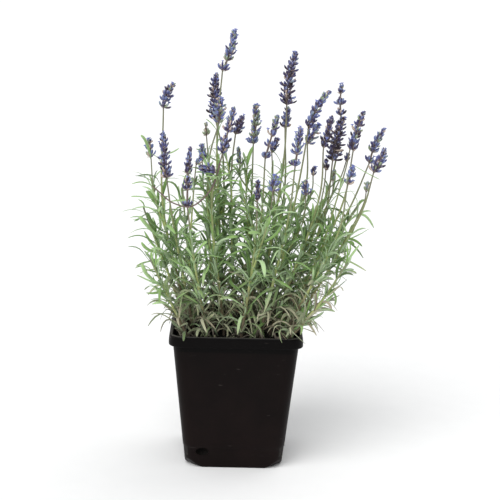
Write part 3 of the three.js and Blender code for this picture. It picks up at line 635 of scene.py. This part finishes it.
# %% [markdown]
# A lavender leaf is a narrow strap. Its edges roll under, its midrib lies in a shallow
# groove above and stands out below, and its tip is blunt. One function makes any number of
# leaves at once: the same few rings are carried along every leaf's own curve.


# %% Leaf blades
def ramp(value, start, span):
    """0 up to the start, 1 from start + span on; a span below 0 runs the other way."""
    return np.clip((value - start) / span, 0, 1)


def resting_height(points):
    """The lowest a leaf may lie: on the compost, and over the rim where it leaves the pot."""
    out = np.abs(points[..., :2]).max(axis=-1)
    return np.interp(out, [0.048, 0.0575, 0.067, 0.085], [0.128, 0.1405, 0.1405, 0.120])


# a leaf's points across and up, from edge to edge and back, in half widths; how pale each is
SECTION = np.array([[1.0, 0.55, 0.0, -0.55, -1.0, 0.0], [-0.16, 0.14, -0.04, 0.14, -0.16, -0.34]])
UNDERSIDE = np.array([0.35, 0.0, 0.0, 0.0, 0.35, 0.85])
# the half width along the leaf, as a share of the widest
OUTLINE = [0, 0.12, 0.35, 0.7, 0.86, 0.95, 1], [0.36, 0.6, 0.94, 1.0, 0.9, 0.66, 0.3]
# the least and the most that a leaf strays, as shares of its length; the last is in radians
DROOP, SWING, CURL = (-0.02, 0.44), (-0.22, 0.22), (-0.85, 0.1)
SWAY, TURN = (-0.09, 0.09), (-0.9, 0.9)


def blades(root, middle, tip, above, width, rng, rows=8, wild=1.0, age=0.0):
    """Closed leaves on quadratic curves through root, middle and tip.

    The half width is a share of the whole: narrow at the root, widest past the middle, blunt
    at the tip. The section has rolled edges, a groove on top and a keel beneath it. Each leaf
    is turned about its own line and curled at its tip by wild amounts of its own."""
    count = len(root)
    s = (1 - (1 - np.linspace(0, 1, rows)) ** 1.25)[None, :, None]
    pull = 2 * middle - (root + tip) / 2
    root, pull, tip, above = (part[:, None] for part in (root, pull, tip, above))
    size = np.linalg.norm(tip - root, axis=2, keepdims=True) * wild
    aside = unit(np.cross(above, tip - root))
    tip = tip - above * rng.uniform(*DROOP, (count, 1, 1)) * size
    tip = tip + aside * rng.uniform(*SWING, (count, 1, 1)) * size
    line = (1 - s) ** 2 * root + 2 * s * (1 - s) * pull + s**2 * tip
    curl = rng.uniform(*CURL, (count, 1, 1)) * size
    line = line + curl * (s**3 - s**2) * 2.2 * above
    sway = rng.uniform(*SWAY, (count, 1, 1)) * size
    across = unit(np.cross(above, unit(np.gradient(line, axis=1))))
    line = line + sway * np.sin(2.6 * s) * s * across
    line[..., 2] = np.maximum(line[..., 2], resting_height(line))
    along = unit(np.gradient(line, axis=1))
    across = unit(np.cross(above, along))
    face = np.cross(along, across)
    turn = rng.uniform(*TURN, (count, 1, 1)) * s**1.5
    turned = (across * np.cos(turn) + face * np.sin(turn))[:, :, None]
    face = (face * np.cos(turn) - across * np.sin(turn))[:, :, None]
    half = np.interp(s, *OUTLINE)[..., None] * (np.reshape(width, (-1, 1, 1, 1)) / 2)
    x, z = SECTION[:, :, None]
    rings = line[:, :, None] + half * (x * turned + z * face)
    values = np.empty((count, rows, 6, 4))
    values[..., 0] = np.abs(SECTION[0]) * 0.8 + 0.2 * (s > 0.98)
    values[..., 1] = rng.uniform(0.0, 1.0, (count, 1, 1))
    values[..., 2] = UNDERSIDE
    values[..., 3] = np.reshape(age, (-1, 1, 1)) + 0.25 * s**3
    return loft(rings, values)


print("a leaf may lie as low as, mm:", 1000 * resting_height(np.zeros(3)))

# %% [markdown]
# Besides the leaves that the solids hold, a lavender stem has tufts of young leaves in the
# leaf angles, short pairs under the flowers, and old, long leaves at its foot that arch over
# and droop. Each of these is a rule that gives roots, middles and tips for the blades above.


# %% Places of the smaller leaves
TWIG_PAIRS = np.linspace(0.16, 0.97, 8)


def tufts(root, middle, tip, above, rng):
    """Small young leaves in the angle above each leaf, leaning its way, fewer higher up."""
    many = 2.3 - 1.9 * ramp(root[:, 2], 0.17, 0.1) - (root[:, 2] < 0.155)
    many = np.round(many + rng.uniform(-1, 1, len(root))).clip(0).astype(int)
    picks = np.repeat(np.arange(len(root)), many)
    along, up, start = unit(middle - root)[picks], above[picks], root[picks]
    across = np.cross(up, along)
    each = (len(picks), 1)
    lean, aside = rng.uniform(0.3, 1.5, each), rng.uniform(-1.1, 1.1, each)
    way = unit(lean * along + up + aside * across)
    length = rng.uniform(0.010, 0.026, each)
    end = start + way * length + along * length * rng.uniform(-0.1, 0.3, each)
    side = unit(np.cross(way, across + 0.3 * rng.normal(size=(len(picks), 3))))
    return start, start + 0.5 * way * length, end, side, rng.uniform(0.0019, 0.0031, len(picks))


def paired_leaves(line, rng, at, spread, length, width):
    """Crossed pairs of leaves that stand up from a stalk, a pair at each share of its length.

    Spread is the angle from the stalk, in radians; width is the least and the most."""
    at, spread, length = (np.repeat(part, 2) for part in (at, spread, length))
    number = np.arange(len(at))
    way = rng.uniform(0, np.pi) + (number // 2) * np.pi / 2 + (number % 2) * np.pi
    out = level(way + rng.uniform(-0.4, 0.4, len(at)))
    place = np.clip((at * (len(line) - 1)).astype(int), 0, len(line) - 2)
    root, along = line[place], unit(line[place + 1] - line[place])
    spread = (spread + rng.uniform(-0.25, 0.25, len(at)))[:, None]
    direction = unit(along * np.cos(spread) + out * np.sin(spread))
    length = (length * rng.uniform(0.7, 1.25, len(at)))[:, None]
    tip = root + length * direction + 0.12 * length * out
    above = unit(along - direction * (along * direction).sum(axis=1, keepdims=True))
    return root, root + 0.5 * length * direction, tip, above, rng.uniform(*width, len(at))


def old_leaves(line, rng, count):
    """Long low leaves that arch out from the foot of a stem and droop, grey or straw."""
    root = line[rng.integers(0, max(2, int(0.24 * len(line))), count)]
    out = level(rng.uniform(0, 2 * np.pi, count))
    length = rng.uniform(0.022, 0.042, (count, 1))
    tip = root + length * (0.8 * out + rng.uniform(-0.25, 0.6, (count, 1)) * UP)
    middle = (root + tip) / 2 + length * rng.uniform(0.14, 0.4, (count, 1)) * UP
    reach = np.abs(tip[:, :2]).max(axis=1)
    floor = np.where(reach < 0.058, 0.132, 0.145)
    tip[:, 2], middle[:, 2] = np.maximum(tip[:, 2], floor), np.maximum(middle[:, 2], floor + 0.002)
    keep = (reach < 0.085) & (root[:, 2] > 0.13)
    above = unit(UP + 0.8 * rng.normal(size=(count, 3)))
    width, age = rng.uniform(0.0020, 0.0035, count), rng.uniform(0.2, 1.3, count)
    return [part[keep] for part in (root, middle, tip, above, width, age)]


print("pairs of leaves on a leafy twig:", len(TWIG_PAIRS))

# %% [markdown]
# One piece holds a whole stem: its stalk, the twigs that leave it, and every kind of leaf
# above. Leaves low down are older and narrower, and the lowest at the right are parched.


# %% Leafy stems
# half widths at the foot and at the end, in metres, and the widths that a leaf may have
STEM_HALF, TWIG_HALF, LEAF_WIDTH = (0.0014, 0.0007), (0.0009, 0.0006), (0.0029, 0.0052)


def leafy_piece(name, stalks, seed, plum=0.0):
    """One stem with its leaves and tufts; stalks names its own curve and any twigs on it.

    Plum is how far the top of the stalk has turned from green to dull violet, 0 to 1."""
    rng = np.random.default_rng(seed)
    root, middle, tip, above = LEAVES[name]
    parts, lines = [], [LINES[stalk] for stalk in stalks]
    for stalk, line in zip(stalks, lines):
        main, twig, t = stalk == stalks[0], stalk in LEAFY_TWIGS, np.linspace(0, 1, len(line))
        thick, thin = STEM_HALF if main else TWIG_HALF
        near = np.linalg.norm(line[:, None] - root[None], axis=2).min(axis=1)
        half = (thick + (thin - thick) * t) * (1 + 0.3 * np.exp(-((near / 0.0022) ** 2)))
        if main:
            line = np.vstack([line[0] - 0.010 * UP, line])
            half, t = np.r_[half[:1], half], np.r_[0, t]
        ripe = 1.0 + 0 * t if stalk == "sagging" else plum * t * (not twig)
        growth = t if main else 0.4 + (0.1 if twig else 0.6) * t
        parts.append((1, tube(line, half, 8, np.stack([growth, t, t, ripe], axis=1))))
    x, z = root[:, 0], root[:, 2]
    low, parched = ramp(z, 0.200, -0.055), ramp(x, 0.055, 0.02) * ramp(z, 0.215, -0.03)
    age = low * rng.uniform(0.3, 1.2, len(root)) + 0.6 * parched
    width = rng.uniform(*LEAF_WIDTH, len(root)) * (1 - 0.4 * parched) * (1 - 0.28 * low)
    width = width * (1 - 0.3 * ramp(z, 0.24, 0.08))
    if name in SHOOTS:
        width = width * (1 - 0.4 * ramp(z, lines[0][-1, 2] - 0.03, 0.03))
    parts.append((0, blades(root, middle, tip, above, width, rng, age=age)))
    young = tufts(root, middle, tip, above, rng)
    age = ramp(young[0][:, 2], 0.2, -0.06) * rng.uniform(0.0, 0.9, len(young[0]))
    parts.append((0, blades(*young, rng, rows=6, age=age)))
    *old, age = old_leaves(lines[0], rng, 20 if name == "shoot_3" else 8)
    parts.append((0, blades(*old, rng, age=age)))
    own = [row for row in LONG_LEAVES if row[0] in stalks]
    if own:
        start = np.array([spot(*row[:2]) for row in own])
        half, end = (MM * np.array([row[k] for row in own], dtype=float) for k in (2, 3))
        side = unit([0.0, -0.55, 0.85] + 0.25 * rng.normal(size=(len(own), 3)))
        width, age = (np.array([row[k] for row in own]) for k in (4, 5))
        made = blades(start, half, end, side, MM * width, rng, rows=11, wild=0.25, age=age)
        parts.append((0, made))
    for stalk, line in zip(stalks, lines):
        if stalk in LEAFY_TWIGS:
            at = TWIG_PAIRS
            shape = 1.0 - 0.65 * at, 0.028 - 0.011 * at, (0.0026, 0.0038)
        elif name.startswith("stem") and stalk != "sagging":
            at = rng.uniform(0.58, 0.66) + 0.06 * np.arange(1 if line[-1, 0] > 0.05 else 3)
            shape = np.full(len(at), 0.52), 0.025 - 0.05 * (at - 0.6), (0.0017, 0.0026)
        else:
            continue
        parts.append((0, blades(*paired_leaves(line, rng, at, *shape), rng, rows=6)))
    return piece(f"leafy_{name}", parts, [LEAF, STALK], [name])


TWIGS = {**SIDE_STALKS, **LATE_BUDS, **LEAFY_TWIGS, "sagging": ("e",)}
STEM_PIECES = [
    leafy_piece(
        f"stem_{name}", [name, *(twig for twig, own in TWIGS.items() if own[0] == name)],
        100 + number, 0.6 * max(0, 1 - row[-1]),
    )
    for number, (name, row) in enumerate(STALKS.items())
]
STEM_PIECES += [leafy_piece(name, [name], 200 + n) for n, name in enumerate(SHOOTS)]
print("stems:", len(STEM_PIECES), "faces:", sum(len(o.data.polygons) for o in STEM_PIECES))

# %% [markdown]
# A flower head is a spike of whorls, rings of small florets round a thin stalk, about 5 mm
# apart. Some heads have bare stretches that show the stalk. A floret is a plump pointed tube
# that leaves the stalk sideways and curves up, so each whorl reads as a small crown, and the
# crowns get narrower to the tip. Pale dry bracts stand between them.


# %% Florets
WHORL_STEP, FLORET_RISE = 5.2, 4.9


def whorls(length, bare, taper):
    """Heights in mm, one every whorl step outside the bare stretches, and their reaches.

    The reach is a share of the widest: full low down, less the taper at the tip, as t^2.4."""
    count = max(2, round((length - FLORET_RISE - 1.0) / WHORL_STEP) + 1)
    at = np.linspace(0.8, length - 3.4, count)
    keep = np.ones(count, dtype=bool)
    for start, end in bare:
        keep &= (at < start) | (at > end)
    t = at / length
    return at[keep], (1 - taper * t**2.4 - 0.1 * (1 - t) ** 4)[keep]


def floret_tubes(root, outward, axis, reach, rise, thick, tone, rng):
    """Pointed tubes: the middle line goes out as a line plus a quarter sine, up as a square."""
    count = len(root)
    s = np.array([0.0, 0.3, 0.6, 0.86, 1.0])[None, :, None]
    body = np.array([0.42, 0.88, 1.0, 0.8, 0.2])[None, :, None, None]
    outward, reach, rise = outward[:, None], reach[:, None, None], rise[:, None, None]
    line = root[:, None] + reach * (0.3 * s + 0.7 * np.sin(s * np.pi / 2)) * outward
    line = line + rise * (0.42 * s + 0.58 * s**2) * axis
    slope = reach * (0.3 + 0.35 * np.pi * np.cos(s * np.pi / 2)) * outward
    along = unit(slope + rise * (0.42 + 1.16 * s) * axis)
    side = unit(np.cross(axis, outward)) * np.ones_like(along)
    face = np.cross(along, side)
    angle = around(6) + rng.uniform(0, 1, (count, 1))
    cos, sin = np.cos(angle)[:, None, :, None], np.sin(angle)[:, None, :, None]
    radius = body * thick[:, None, None, None] * rng.uniform(0.84, 1.14, (count, 1, 6, 1))
    rings = line[:, :, None] + radius * (cos * side[:, :, None] + sin * face[:, :, None])
    values = np.zeros((count, 5, 6, 4))
    values[..., 0] = s
    values[..., 1] = rng.uniform(0, 1, (count, 1, 1)) ** 1.5
    values[..., 3] = tone[:, None, None]
    return loft(rings, values), line[:, 4], along[:, 4], side[:, 4]


def corollas(mouth, along, side, size, rng):
    """Open flowers: a short tube that flares into a frill of four lobes, as a lofted bowl."""
    out = np.array([0.3, 0.42, 1.0, 0.8, 0.15])[None, :, None]
    up = np.array([-0.9, 0.1, 0.6, 0.7, 0.2])[None, :, None, None]
    angle = around(8)
    frill = 1 + 0.3 * np.cos(4 * angle) * (np.arange(5) >= 2)[None, :, None]
    frill = frill * rng.uniform(0.8, 1.2, (len(mouth), 1, 8))
    mouth, along, side, size = (part[:, None, None] for part in (mouth, along, side, size[:, None]))
    ring = np.cos(angle)[:, None] * side + np.sin(angle)[:, None] * np.cross(along, side)
    rings = mouth + up * size * along + (out * frill)[..., None] * size * ring
    return loft(rings, np.full((len(mouth), 5, 8, 4), 0.5))


print("a 40 mm head has", len(whorls(40.0, (), 0.8)[0]), "whorls")

# %% [markdown]
# A head sets florets on its whorls, in an outer and an inner ring, and closes its tip with
# four small ones. A thin stalk runs up its middle, and many heads bow a little sideways.

# %% Flower heads
# how far the middle of a head bows sideways from a straight line, in millimetres
BOWED = {
    "i": -2.8, "k": -2.8, "a": -2.0, "b": 1.8, "m": -1.2, "p": -1.6,
    "q": -2.0, "r": 1.5, "g": 1.5, "c": -1.2, "u": -1.0, "n": -1.2,
}
# the pointed top: how far four last florets start below the tip, and their reach, in mm
CROWN = np.array([[4.6, 4.1, 3.7, 2.6], [1.2, 1.0, 0.8, 0.1]])


def flower_head(name, base, tip, widest, bare, tone, seed, solid=True):
    """Two rings of florets to a whorl, a pointed top, open flowers, bracts and the stalk."""
    rng = np.random.default_rng(seed)
    base, tip = np.array(base, dtype=float) * MM, np.array(tip, dtype=float) * MM
    length = np.linalg.norm(tip - base)
    axis, tall = (tip - base) / length, length * 1000
    side = unit(np.cross([0.0, 1.0, 0.0], axis))
    bow = 4 * BOWED.get(name, 0.0) * MM * side

    def middle_line(share):
        """The head's own line: straight, and bowed most at its middle."""
        return base + axis * share * length + bow * share * (1 - share)

    heights, reaches = whorls(tall, bare, rng.uniform(0.62, 0.92))
    per = 5 + (widest > 4) + (widest > 6) * 2
    inner = np.tile(np.repeat([0, 1], per), len(heights))
    number = np.tile(np.arange(per), 2 * len(heights)) + 0.5 * inner
    number = number + 0.3 * np.repeat(np.arange(len(heights)), 2 * per)
    angle = 2 * np.pi * number / per + rng.uniform(-0.4, 0.4, len(number))
    at = np.repeat(heights, 2 * per) + 1.3 * inner + rng.uniform(-0.6, 0.6, len(inner))
    reach = np.repeat(reaches, 2 * per) * np.where(inner, 0.52, 1.0)
    reach = reach * rng.uniform(0.7, 1.3, len(inner)) * (widest + 0.3)
    at, reach = np.r_[at, tall - CROWN[0]], np.r_[reach, CROWN[1]]
    angle = np.r_[angle, 2 * np.pi * np.arange(4) / 3][:, None]
    outward = np.cos(angle) * side + np.sin(angle) * np.cross(axis, side)
    keep = (rng.uniform(0, 1, len(at)) > 0.12) | (np.arange(len(at)) >= len(at) - 4)
    at, reach, outward = at[keep], reach[keep], outward[keep]
    count, high = len(at), at / tall
    root = middle_line(np.maximum(at, 0.4)[:, None] * MM / length) + outward * 0.0004
    small = 1 - 0.42 * high**4
    rise = MM * (FLORET_RISE + 0.2 * (4 - reach)) * rng.uniform(0.7, 1.2, count) * small
    room = length + 0.001 - 0.0014 * reach - (root - base) @ axis
    rise = np.minimum(rise, np.maximum(room, 0.0022))
    thick = MM * rng.uniform(0.9, 1.25, count) * min(1.0, 0.5 + widest / 10) * small
    shade = tone + rng.normal(0, 0.24, count) + 0.12 * (high - 0.5)
    made, *mouths = floret_tubes(root, outward, axis, MM * reach, rise, thick, shade, rng)
    dry = np.repeat(2 * (rng.uniform(0, 1, count) < 0.06), len(made[1]) // count)
    parts = [(dry, made)]
    bloom = (rng.uniform(0, 1, count) < 0.03 + 0.2 * (tone > 0.55)) & (tone < 1)
    if bloom.any():
        size = MM * rng.uniform(1.1, 1.8, bloom.sum())
        parts.append((1, corollas(*(part[bloom] for part in mouths), size, rng)))
    picks = rng.uniform(0, 1, count) < 0.75
    each = (picks.sum(), 1)
    start = root[picks] - axis * 0.0012
    size = MM * rng.uniform(0.6, 0.95, each) * (reach[picks, None] + 0.8)
    way = unit(outward[picks] + axis * rng.uniform(0.3, 1.1, each))
    end = start + way * size + axis * 0.3 * size
    above = unit(np.cross(way, np.cross(axis, way)))
    wide = MM * rng.uniform(0.9, 1.7, len(start))
    parts.append((2, blades(start, start + way * size * 0.5, end, above, wide, rng, rows=5)))
    line = middle_line(np.linspace(0, 1 - 0.003 / length, 12)[:, None])
    parts.append((3, tube(line, np.linspace(0.0011, 0.0006, 12), 6, np.full((12, 4), 0.9))))
    replaced, finishes = [f"head_{name}"] if solid else [], [CALYX, COROLLA, BRACT, STALK]
    return piece(f"flowers_{name}", parts, finishes, replaced)


HEAD_PIECES = [flower_head(n, *row[2:], 300 + k) for k, (n, row) in enumerate(STALKS.items())]
for first, table in ((400, SIDE_STALKS), (500, LATE_BUDS)):
    HEAD_PIECES += [
        flower_head(name, *row[3:6], (), row[6], first + number, solid=table is SIDE_STALKS)
        for number, (name, row) in enumerate(table.items())
    ]
print("heads:", len(HEAD_PIECES), "faces:", sum(len(o.data.polygons) for o in HEAD_PIECES))

# %% [markdown]
# The pot is one thin skin: under the floor, up the wall, into the groove under the folded
# rim, over the rim and down the inside. So one closed profile of rounded squares makes it.
# A small step 22 mm up, where two parts of the mould met, goes round the foot.
# The four bottom corners are cut off obliquely, which is a plane that the low points are
# raised to. The drain slots and holes are cut last, with a Boolean.


# %% Pot profile
POT_TOP, WALL, FOOT_STEP = 138.0, 1.4, 0.3
SLOT_MIDDLE, SLOT_HALF = np.array([-31.0, -49.7, 17.0]), np.array([6.5, 0.0, 4.0])
HOLE_MIDDLE, HOLE_RADIUS = np.array([36.0, 36.0, 0.0]), 3.5
SLOT_CUT, HOLE_CUT = (-44.0, -55.0), (-2.0, 9.0)  # where each cutter starts and ends
# heights up the wall, and half width, corner radius and height of the rest, all in mm
FOOT_HEIGHTS = [5.0, 9.0, 13.0, 17.0, 21.4]
WALL_HEIGHTS = [25.0, 45.0, 70.0, 95.0, 118.0, 130.0, 135.2]
UNDERSIDE_CURVE = [
    (8, 5, 0), (30, 8, 0), (42, 9, 0), (46.1, 10, 0), (47.0, 10.6, 0.1), (47.5, 11, 0.5),
    (47.8, 11, 1.2),
]
RIM_CURVE = [
    (62.2, 11.2, 136.0), (62.8, 11.6, 136.2), (63.3, 11.9, 135.9), (63.4, 12, 135.2),
    (63.4, 12, 130), (63.4, 12, 128.1), (63.6, 12.1, 127.7), (64.1, 12.4, 127.5),
    (64.6, 12.8, 127.7), (64.9, 13, 128.2), (65, 13, 129), (65, 13, 131), (64.85, 13, 133.4),
    (64.7, 12.9, 135.6), (64.5, 12.8, 136.8), (64.3, 12.6, 137.4), (63.9, 12.2, 137.9),
    (63.2, 11.8, 138), (61.9, 11, 138), (61.2, 10.6, 137.8), (60.8, 10.1, 137.4),
    (60.6, 9.9, 136.8),
]
INSIDE_FLOOR = [
    (46.9, 9.6, 2.4), (46.4, 9.4, 1.7), (45.4, 9, 1.42), (40, 9, 1.4), (30, 8, 1.4), (8, 5, 1.4),
]


def wall_half(z):
    """The wall's half width in mm grows evenly from 48 at the foot to 62 at the top."""
    return 48.0 + 14.0 * np.asarray(z) / POT_TOP


def quarter_turn(quarter):
    """The matrix that turns row vectors about Z by so many quarters."""
    cos, sin = math.cos(quarter * math.pi / 2), math.sin(quarter * math.pi / 2)
    return np.array([[cos, sin, 0], [-sin, cos, 0], [0, 0, 1]])


def rounded_squares(half, corner, z, arc=9, flat=11):
    """Rings of quarter circles joined by straight sides, for arrays of sizes and heights."""
    half, corner, z = (np.asarray(v, dtype=float)[:, None, None] for v in (half, corner, z))
    turn = (np.arange(4)[:, None] + np.linspace(0, 1, arc)[None]) * np.pi / 2
    middle = ((np.arange(4) + 0.5) * np.pi / 2)[:, None]
    x, y = (np.sign(way(middle)) * (half - corner) + corner * way(turn) for way in (np.cos, np.sin))
    bend = np.stack([x, y, z + 0 * x], axis=-1)
    share = np.linspace(0, 1, flat + 2)[1:-1][:, None]
    straight = bend[:, :, -1:] * (1 - share) + np.roll(bend[:, :, :1], -1, axis=1) * share
    return np.concatenate([bend, straight], axis=2).reshape(len(half), -1, 3)


def raise_corners(rings, thickness):
    """Low points rise to the plane z = 0.8 (|x| + |y| - 80), or to one a wall above it."""
    plane = 0.8 * (np.abs(rings[..., 0]) + np.abs(rings[..., 1]) - 80.0) + 1.51 * thickness
    rings[..., 2] = np.maximum(rings[..., 2], plane)
    return rings


print("the pot half way up is", wall_half(POT_TOP / 2) * 2, "mm wide")

# %% [markdown]
# The profile is lofted into a closed skin. Each drain slot and floor hole starts as a short
# plug with the opening's outline, and a Boolean takes all eight out of the skin.


# %% Pot
def cut(obj, cutters):
    """Takes the cutters out of the piece for good, and removes them."""
    for cutter in cutters:
        step = obj.modifiers.new("cut", "BOOLEAN")
        step.operation, step.solver, step.object = "DIFFERENCE", "EXACT", cutter
    graph = bpy.context.evaluated_depsgraph_get()
    mesh = bpy.data.meshes.new_from_object(obj.evaluated_get(graph))
    obj.modifiers.clear()
    obj.data = mesh
    for cutter in cutters:
        bpy.data.objects.remove(cutter)
    mesh.set_sharp_from_angle(angle=math.radians(38))


def cutter_from(rings):
    """A closed solid through the rings, in metres, that only serves to cut."""
    points, faces, _ = loft(np.array(rings)[None] * MM)
    return placed("cutter", new_mesh("cutter", points, faces))


def pot_piece():
    """One loft of rounded squares from floor to floor, with four slots and holes cut out."""
    outer = UNDERSIDE_CURVE + [(wall_half(z) - FOOT_STEP, 11.0, z) for z in FOOT_HEIGHTS]
    outer += [(wall_half(z), 11.0, z) for z in [21.9, *WALL_HEIGHTS]] + RIM_CURVE
    inner = [(wall_half(z) - WALL, 9.6, z) for z in [*WALL_HEIGHTS[::-1], 12.0, 5.0]]
    low = raise_corners(rounded_squares(*np.array(outer, dtype=float).T), 0.0)
    high = raise_corners(rounded_squares(*np.array(inner + INSIDE_FLOOR, dtype=float).T), WALL)
    made = loft(np.concatenate([low, high])[None] * MM)
    pot = piece("square_nursery_pot", [(0, made)], [PLASTIC], ["pot"])
    angle = around(28)
    slot = SLOT_MIDDLE * [1, 0, 1] + level(angle)[:, [0, 2, 1]] * SLOT_HALF
    hole = HOLE_MIDDLE + HOLE_RADIUS * level(angle)
    cutters = []
    for spin in map(quarter_turn, range(4)):
        cutters.append(cutter_from([(slot + [0, y, 0]) @ spin for y in SLOT_CUT]))
        cutters.append(cutter_from([(hole + [0, 0, z]) @ spin for z in HOLE_CUT]))
    cut(pot, cutters)
    return pot


POT = pot_piece()
print("pot faces:", len(POT.data.polygons))

# %% [markdown]
# The compost fills the pot to a centimetre under the rim, and a little has washed out behind
# each drain slot. Its top is uneven: slow waves, and clods of a few millimetres. Loose crumbs
# and dead leaves that fell from the bush lie on it.


# %% Compost
GROUND, TOP_RINGS, CRUMBS, DEAD_LEAVES = 128.0, 56, 620, 190
SIDE_HEIGHTS = [2.4, 6, 9, 11, 13, 15, 17, 19, 21, 23, 26, 40, 80, 126]


def ground(x, y):
    """Height in mm: 128 and two slow waves, the same as the solid's."""
    waves = np.sin(0.11 * x + 1.3) * np.cos(0.13 * y - 0.4)
    lumps = np.sin(0.31 * x - 0.23 * y) * np.sin(0.37 * y + 0.8)
    return GROUND + 1.6 * (waves + 0.7 * lumps)


def clods(x, y, rng):
    """A rough surface in mm: many short waves of random direction, 3 to 11 mm long."""
    total = np.zeros_like(x)
    for length in np.geomspace(11.0, 3.0, 12):
        way, phase = rng.uniform(0, 2 * np.pi, 2)
        k = 2 * np.pi / length
        total = total + 0.045 * length * np.sin(k * (x * np.cos(way) + y * np.sin(way)) + phase)
    return total


def crumbs(count, rng):
    """Loose lumps of 1 to 5 mm on the ground: short lofts, each stretched its own way."""
    x, y = rng.uniform(-57, 57, (count, 2)).T
    size = 0.7 + 2.0 * rng.uniform(0, 1, count) ** 2.2
    up, wide = np.array([[-0.75, -0.2, 0.4, 0.8], [0.55, 1.0, 0.85, 0.4]])[:, :, None, None]
    shape = wide * level(around(6)) + up * UP
    rough = rng.uniform(0.7, 1.25, (count, 4, 6, 1))
    shape = shape * rough * rng.uniform(0.7, 1.5, (count, 1, 1, 3)) * size[:, None, None, None]
    place = np.stack([x, y, ground(x, y) + 0.5 * size], axis=1)
    return loft((shape + place[:, None, None]) * MM)


def compost_piece():
    """A closed block inside the pot whose top is rings that shrink to its middle.

    Behind each slot the side is pushed in by 9 exp(-(d / 8)^4) mm, d from the slot's middle."""
    rng = np.random.default_rng(11)
    depth = np.array([1.7, 1.7, *SIDE_HEIGHTS])
    half = np.r_[6.0, 40.0, wall_half(depth[2:]) - 1.75]
    sides = raise_corners(rounded_squares(half, np.full(len(depth), 5.9), depth, 9, 41), 1.7)
    for spin in map(quarter_turn, range(4)):
        away = np.linalg.norm(sides - SLOT_MIDDLE @ spin, axis=-1, keepdims=True)
        sides = sides + np.array([0.0, 9.0, 0.0]) @ spin * np.exp(-((away / 8) ** 4))
    shrink = np.linspace(1.0, 0.03, TOP_RINGS)
    size = (wall_half(GROUND) - 1.8) * shrink
    top = rounded_squares(size, np.minimum(8.0, size * 0.6), 0 * size, 9, 41)
    rough = clods(top[..., 0], top[..., 1], rng) * np.minimum(1, (1.02 - shrink) * 12)[:, None]
    top[..., 2] = ground(top[..., 0], top[..., 1]) + rough
    parts = [(0, loft(np.concatenate([sides, top])[None] * MM)), (0, crumbs(CRUMBS, rng))]
    return piece("peat_compost", parts, [COMPOST], ["soil"])


def fallen_leaves():
    """Dead leaves: strongly curled blades that lie on the compost or lean up from it."""
    rng, count = np.random.default_rng(23), DEAD_LEAVES
    place = rng.uniform(-54, 54, (count, 2))
    height = ground(place[:, 0], place[:, 1]) + rng.uniform(0.6, 3.5, count)
    root = np.column_stack([place, height])
    flat = level(rng.uniform(0, 2 * np.pi, count))
    direction = unit(flat + rng.uniform(0.0, 0.75, (count, 1)) ** 1.5 * UP)
    length = rng.uniform(12, 32, (count, 1))
    tip = root + direction * length
    tip[:, :2] = np.clip(tip[:, :2], -56, 56)
    tip[:, 2] = np.maximum(tip[:, 2], ground(tip[:, 0], tip[:, 1]) + 1.0)
    middle = (root + tip) / 2 + rng.uniform(0.05, 0.45, (count, 1)) * length * UP
    above = unit(rng.normal(size=(count, 3)) * 0.6 + UP)
    width, age = rng.uniform(0.0022, 0.0040, count), rng.uniform(0.2, 0.9, count)
    made = blades(root * MM, middle * MM, tip * MM, above, width, rng, rows=7, age=age)
    kind = np.repeat(rng.uniform(0, 1, count) < 0.35, len(made[1]) // count)
    return piece("fallen_leaves", [(kind, made)], [LITTER, LEAF], [])


SOIL, FALLEN = compost_piece(), fallen_leaves()
print("compost faces:", len(SOIL.data.polygons), "fallen leaves:", len(FALLEN.data.polygons))

# %% [markdown]
# The studio is a white floor under a pale, even sky. Far away the floor rises like the side
# of a dish, so no horizon shows behind the plant. A wide soft sun stands to the left and in
# front, and a weaker one above and behind lights the leaf edges.

# %% Floor, sky and lights
SUNS = {"key": ((-1.1, -2.0, 2.6), 50.0, 2.2), "back": ((1.2, 1.6, 2.4), 60.0, 0.6)}


def white_floor():
    """A disc 48 m across whose height is the square of the radius past 12 m, over 60."""
    material, add, place = new_material("matt_white_floor")
    grain = add("TexNoise", {"Vector": place, "Scale": 40.0})
    colour = add("ValToRGB", [grain], [(0.0, "#f4f4f3"), (1.0, "#f7f7f6")])
    surface = {"Base Color": colour, "Roughness": 0.9, "Specular IOR Level": 0.1}
    add("OutputMaterial", [add("BsdfPrincipled", surface)])
    radius = np.array([4.0, 8.0, 12.0, 14.0, 16.0, 18.0, 21.0, 24.0])[:, None, None]
    rings = radius * level(around(64))
    rings = rings + np.maximum(radius - 12, 0) ** 2 / 60 * UP
    inner = np.arange(7)[:, None] * 64 + np.arange(64)
    beside = np.roll(inner, -1, axis=1)
    faces = np.stack([inner, inner + 64, beside + 64, beside], axis=2).reshape(-1, 4)
    mesh = bpy.data.meshes.new("floor")
    mesh.from_pydata(rings.reshape(-1, 3).tolist(), [], [list(range(64)), *faces.tolist()])
    mesh.shade_smooth()
    mesh.materials.append(material)
    return placed("floor", mesh)


def lights():
    """A pale world, and two wide, soft suns: place in metres, spread in degrees, power."""
    world = bpy.data.worlds.new("pale_sky")
    bpy.context.scene.world = world
    world.use_nodes = True
    sky = world.node_tree.nodes["Background"].inputs
    sky["Color"].default_value, sky["Strength"].default_value = linear("#fbfcff"), 0.56
    target = Vector((0.01, 0.0, 0.22))
    for name, (place, spread, power) in SUNS.items():
        data = bpy.data.lights.new(name, "SUN")
        data.angle, data.energy = math.radians(spread), power
        light = placed(name, data)
        light.location = place
        light.rotation_euler = (target - Vector(place)).to_track_quat("-Z", "Y").to_euler()


white_floor()
lights()
bpy.context.scene.view_settings.view_transform = "Standard"
bpy.context.scene.view_settings.look = "None"
print("studio ready")
